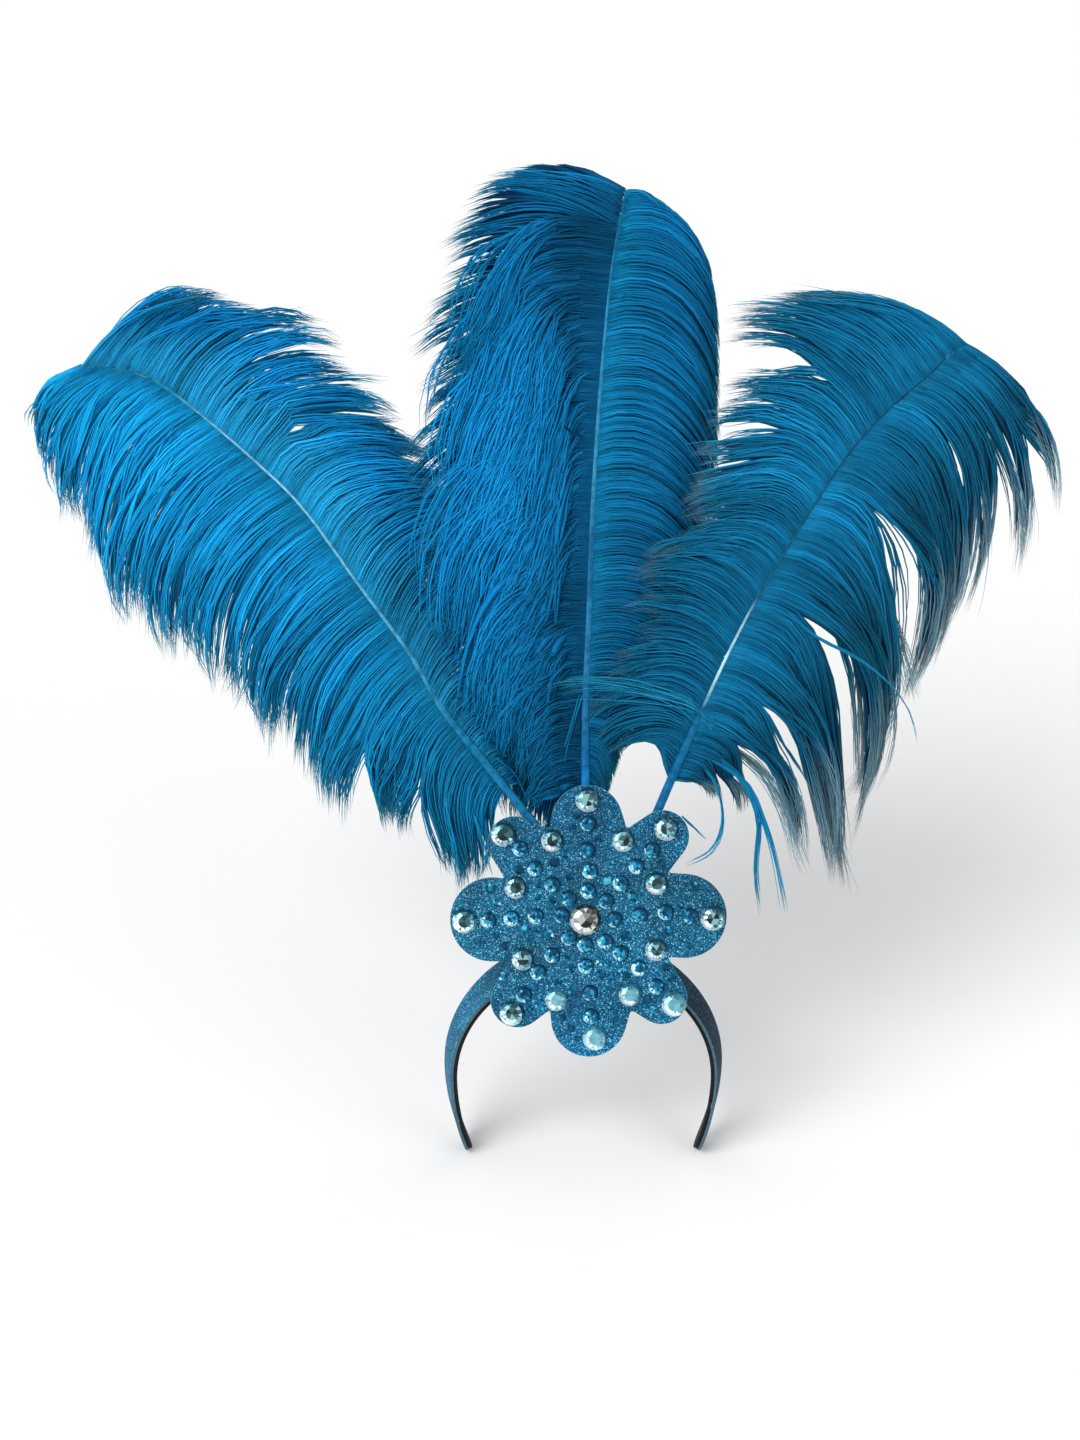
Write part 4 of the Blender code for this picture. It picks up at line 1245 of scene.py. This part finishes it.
def growBarbs(side, roots, rng):
    # one side's courses, widths, tones and rolls
    style, guide = {**plainBarbs, **barbStyles[side]}, smoothGuide(guides[side])
    barbs = placeBarbs(style, guide, rng)
    s = np.linspace(0, 1, style["steps"])[None, :]
    t = s * barbs.reach[:, None]
    at = gatherBarbs(barbs, style, s)
    courses = bendBarbs(barbs, style, guide, roots, at, t, rng)
    swayBarbs(barbs, style, courses, t, rng)
    tip = style["tip"]
    width = style["width"] * mm * rng.uniform(0.75, 1.2, (barbs.count, 1))
    width = width * (tip + (1 - tip) * (1 - ease(s, 0.45)))
    width = width * np.where(barbs.fine, 1.0, style["underWidth"])[:, None]
    tone = toneBarbs(barbs, style, s, rng)
    return toWorld(courses), width, tone, rng.uniform(-1, 1, barbs.count) * style["roll"]


def barbBody(name, grown, finish):
    # joins barbs, each a fine three-sided blade that tapers to a point
    points, faces, tones = [], [], []
    total = 0
    behind, front = plainBarbs["blade"]
    for courses, width, tone, roll in grown:
        count, steps = courses.shape[:2]
        run = unit(np.gradient(courses, axis=1))
        across = unit(np.cross(run, forwardAxis))
        over = np.cross(across, run)
        c, z = np.cos(roll)[:, None, None], np.sin(roll)[:, None, None]
        across, over = across * c + over * z, over * c - across * z
        w = width[..., None]
        corners = np.stack([
            courses - across * w * 0.5 - over * w * behind,
            courses + across * w * 0.5 - over * w * behind,
            courses + over * w * front,
        ], axis=2)[:, :-1]
        rings = steps - 1
        body = np.concatenate([corners.reshape(count, rings * 3, 3), courses[:, -1:]], axis=1)
        points.append(body.reshape(-1, 3))
        k, c3 = np.meshgrid(np.arange(rings - 1), np.arange(3), indexing="ij")
        n3 = (c3 + 1) % 3
        quads = np.stack([k * 3 + c3, (k + 1) * 3 + c3, (k + 1) * 3 + n3, k * 3 + n3], axis=-1)
        last, tip = (rings - 1) * 3, rings * 3
        tris = [(last + j, tip, last + (j + 1) % 3) for j in range(3)] + [(0, 1, 2)]
        offset = total + np.arange(count)[:, None, None] * (rings * 3 + 1)
        faces += (quads.reshape(-1, 4)[None] + offset).reshape(-1, 4).tolist()
        faces += (np.array(tris)[None] + offset).reshape(-1, 3).tolist()
        total += count * (rings * 3 + 1)
        toneRows = np.concatenate([np.repeat(tone[:, :-1], 3, axis=1), tone[:, -1:]], axis=1)
        tones.append(toneRows.reshape(-1, 3))
    body = newPiece(name, np.concatenate(points), faces, finish)
    paintTones(body.data, np.concatenate(tones).clip(0, 1), "POINT")
    body.data.shade_smooth()
    return body


# Single barbs and thin locks that hang clear of the vanes: tone, forward, strands, how far they spread,
# width, and then the path by (side, up). Lengths are in millimetres.
looseBarbs = (
    ("teal", -6, 12, 1.2, 1.2, ((56, 99), (77, 93), (92, 80), (101, 58), (99, 29), (102, 3))),
    ("teal", -5, 9, 1.0, 1.1, ((66, 97), (92, 81), (104, 57), (111, 32), (117, 1))),
    ("teal", -7, 9, 0.9, 1.1, ((61, 94), (73, 84), (79, 67), (79, 52), (72, 39), (55, 31))),
    ("teal", -7, 3, 0.5, 0.8, ((56, 60), (63, 53), (72, 45))),
    ("teal", 6, 5, 0.6, 0.9, ((104, 192), (131, 166), (159, 151), (180, 133), (190, 116), (193, 98))),
    ("aqua", 1, 30, 3.0, 0.7, ((73, 113), (61, 127), (37, 134), (14, 137), (-9, 137), (-22, 133))),
    ("mist", -24, 26, 3.2, 0.7, ((165, 196), (175, 180), (182, 160), (187, 142), (192, 124))),
    ("mist", -24, 40, 4.6, 0.7, ((148, 170), (160, 154), (167, 134), (168, 114), (164, 94))),
    ("mist", -20, 22, 3.2, 0.7, ((88, 98), (104, 84), (115, 64), (122, 42), (128, 26))),
    ("teal", -7, 3, 0.5, 0.8, ((-51, 93), (-41, 84), (-35, 72), (-30, 57))),
    ("night", 2, 5, 0.5, 1.1, ((-12, 286), (-7, 282), (-2, 280), (3, 274))),
    ("teal", -3, 5, 1.8, 0.7, ((-3, 130), (-11, 101), (-17, 72))),
    ("mid", -14, 6, 1.2, 0.9, ((-81, 70), (-76, 40), (-73, 17))),
    ("mid", -12, 4, 0.9, 0.8, ((-64, 60), (-59, 42), (-54, 25))),
)


def growLoose(tone, forward, count, spread, width, path, rng, steps=14):
    rows = [(*alongSight(side * mm, up * mm, forward * mm), forward * mm) for side, up in path]
    course = smoothShaft(np.array(rows) / mm, steps)
    along = np.linspace(0, 1, steps)
    s = along[None, :, None]
    apart = rng.normal(0, spread * mm, (count, 1, 3)) * (0.35 + 0.65 * s)
    phase, rate = rng.uniform(0, math.tau, (count, 1, 3)), rng.uniform(0.6, 1.6, (count, 1, 3))
    wave = 0.4 * spread * mm * np.sin(phase + math.tau * rate * s)
    ends = 1 - rng.uniform(0, 0.12, count)  # some end a little sooner
    courses = course[None] + apart + wave
    courses = np.stack([readAt(along * end, along, one) for one, end in zip(courses, ends)])
    widths = width * mm * (0.3 + 0.7 * (1 - ease(s[..., 0], 0.3))) * rng.uniform(0.7, 1.2, (count, 1))
    shade = (1 + rng.normal(0, 0.2, (count, 1, 1))).clip(0.4, 1.7)
    tones = np.array(blues[tone]) * shade * np.ones((count, steps, 1))
    return toWorld(courses), widths, tones, rng.uniform(-0.7, 0.7, count)


def makePlumes(finish):
    for number, side in enumerate(barbStyles):
        plume = next(plume for plume in shafts if side.startswith(plume))
        name = f"barbs{side[0].upper()}{side[1:]}"
        grown = growBarbs(side, barbRoots(shafts[plume]), np.random.default_rng(100 + number))
        body = barbBody(name, [grown], finish)
        finishPiece(body, name, (f"plume_vane_{plume}",))
        print(name, sum(len(face.vertices) - 2 for face in body.data.polygons), "triangles")
    rng = np.random.default_rng(64)
    body = barbBody("looseBarbs", [growLoose(*barb, rng) for barb in looseBarbs], finish)
    finishPiece(body, "looseBarbs")


# Each shaft's colour, by height in metres: bright at the quill, with painted highlights in the pale
# bands where the shaft shows a light line
shaftBands = {
    "left": (
        (0.09, (0.008, 0.17, 0.34)), (0.125, (0.010, 0.18, 0.36)), (0.16, (0.06, 0.33, 0.52)),
        (0.21, (0.16, 0.46, 0.64)), (0.25, (0.26, 0.58, 0.74)), (0.275, (0.16, 0.46, 0.64)),
        (0.295, (0.03, 0.27, 0.43)), (0.33, (0.008, 0.20, 0.36)),
    ),
    "centre": (
        (0.09, (0.008, 0.23, 0.62)), (0.115, (0.006, 0.12, 0.30)), (0.15, (0.018, 0.19, 0.40)),
        (0.22, (0.012, 0.16, 0.33)), (0.26, (0.035, 0.26, 0.44)), (0.36, (0.022, 0.24, 0.44)),
        (0.41, (0.008, 0.10, 0.20)),
    ),
    "right": (
        (0.09, (0.004, 0.14, 0.34)), (0.14, (0.006, 0.13, 0.27)), (0.155, (0.40, 0.72, 0.80)),
        (0.18, (0.40, 0.72, 0.80)), (0.20, (0.005, 0.10, 0.20)), (0.33, (0.002, 0.04, 0.09)),
    ),
}


def dressShafts():
    for plume, bands in shaftBands.items():
        finish = hornShaft(f"horn_{plume}", bands)
        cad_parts[f"plume_shaft_{plume}"].material_slots[0].material = finish


def main():
    addCamera()
    addStudio()
    print("studio ready")
    makeHeadband()
    makeFlower()
    print("band and flower made")
    clear = tintedMaterial("clearFoilStone", roughness=0.1, metallic=0.45, coat=0.25)
    blue = tintedMaterial("blueFoilStone", roughness=0.14, metallic=0.2, specular=0.2)
    makeChips(makeStones(clear, blue), blue)
    print("stones set")
    barbs = tintedMaterial("dyedBarbs", roughness=0.7, specular=0.06)
    softened = barbs.node_tree.nodes["Principled BSDF"].inputs
    softened["Subsurface Weight"].default_value = 0.3
    softened["Subsurface Radius"].default_value = (0.5, 0.8, 1.0)
    softened["Subsurface Scale"].default_value = 0.002
    makePlumes(barbs)
    dressShafts()
    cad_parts["backing_pad"].material_slots[0].material = grainedMaterial("padFelt")
    print("plumes made")


main()
freeHands()
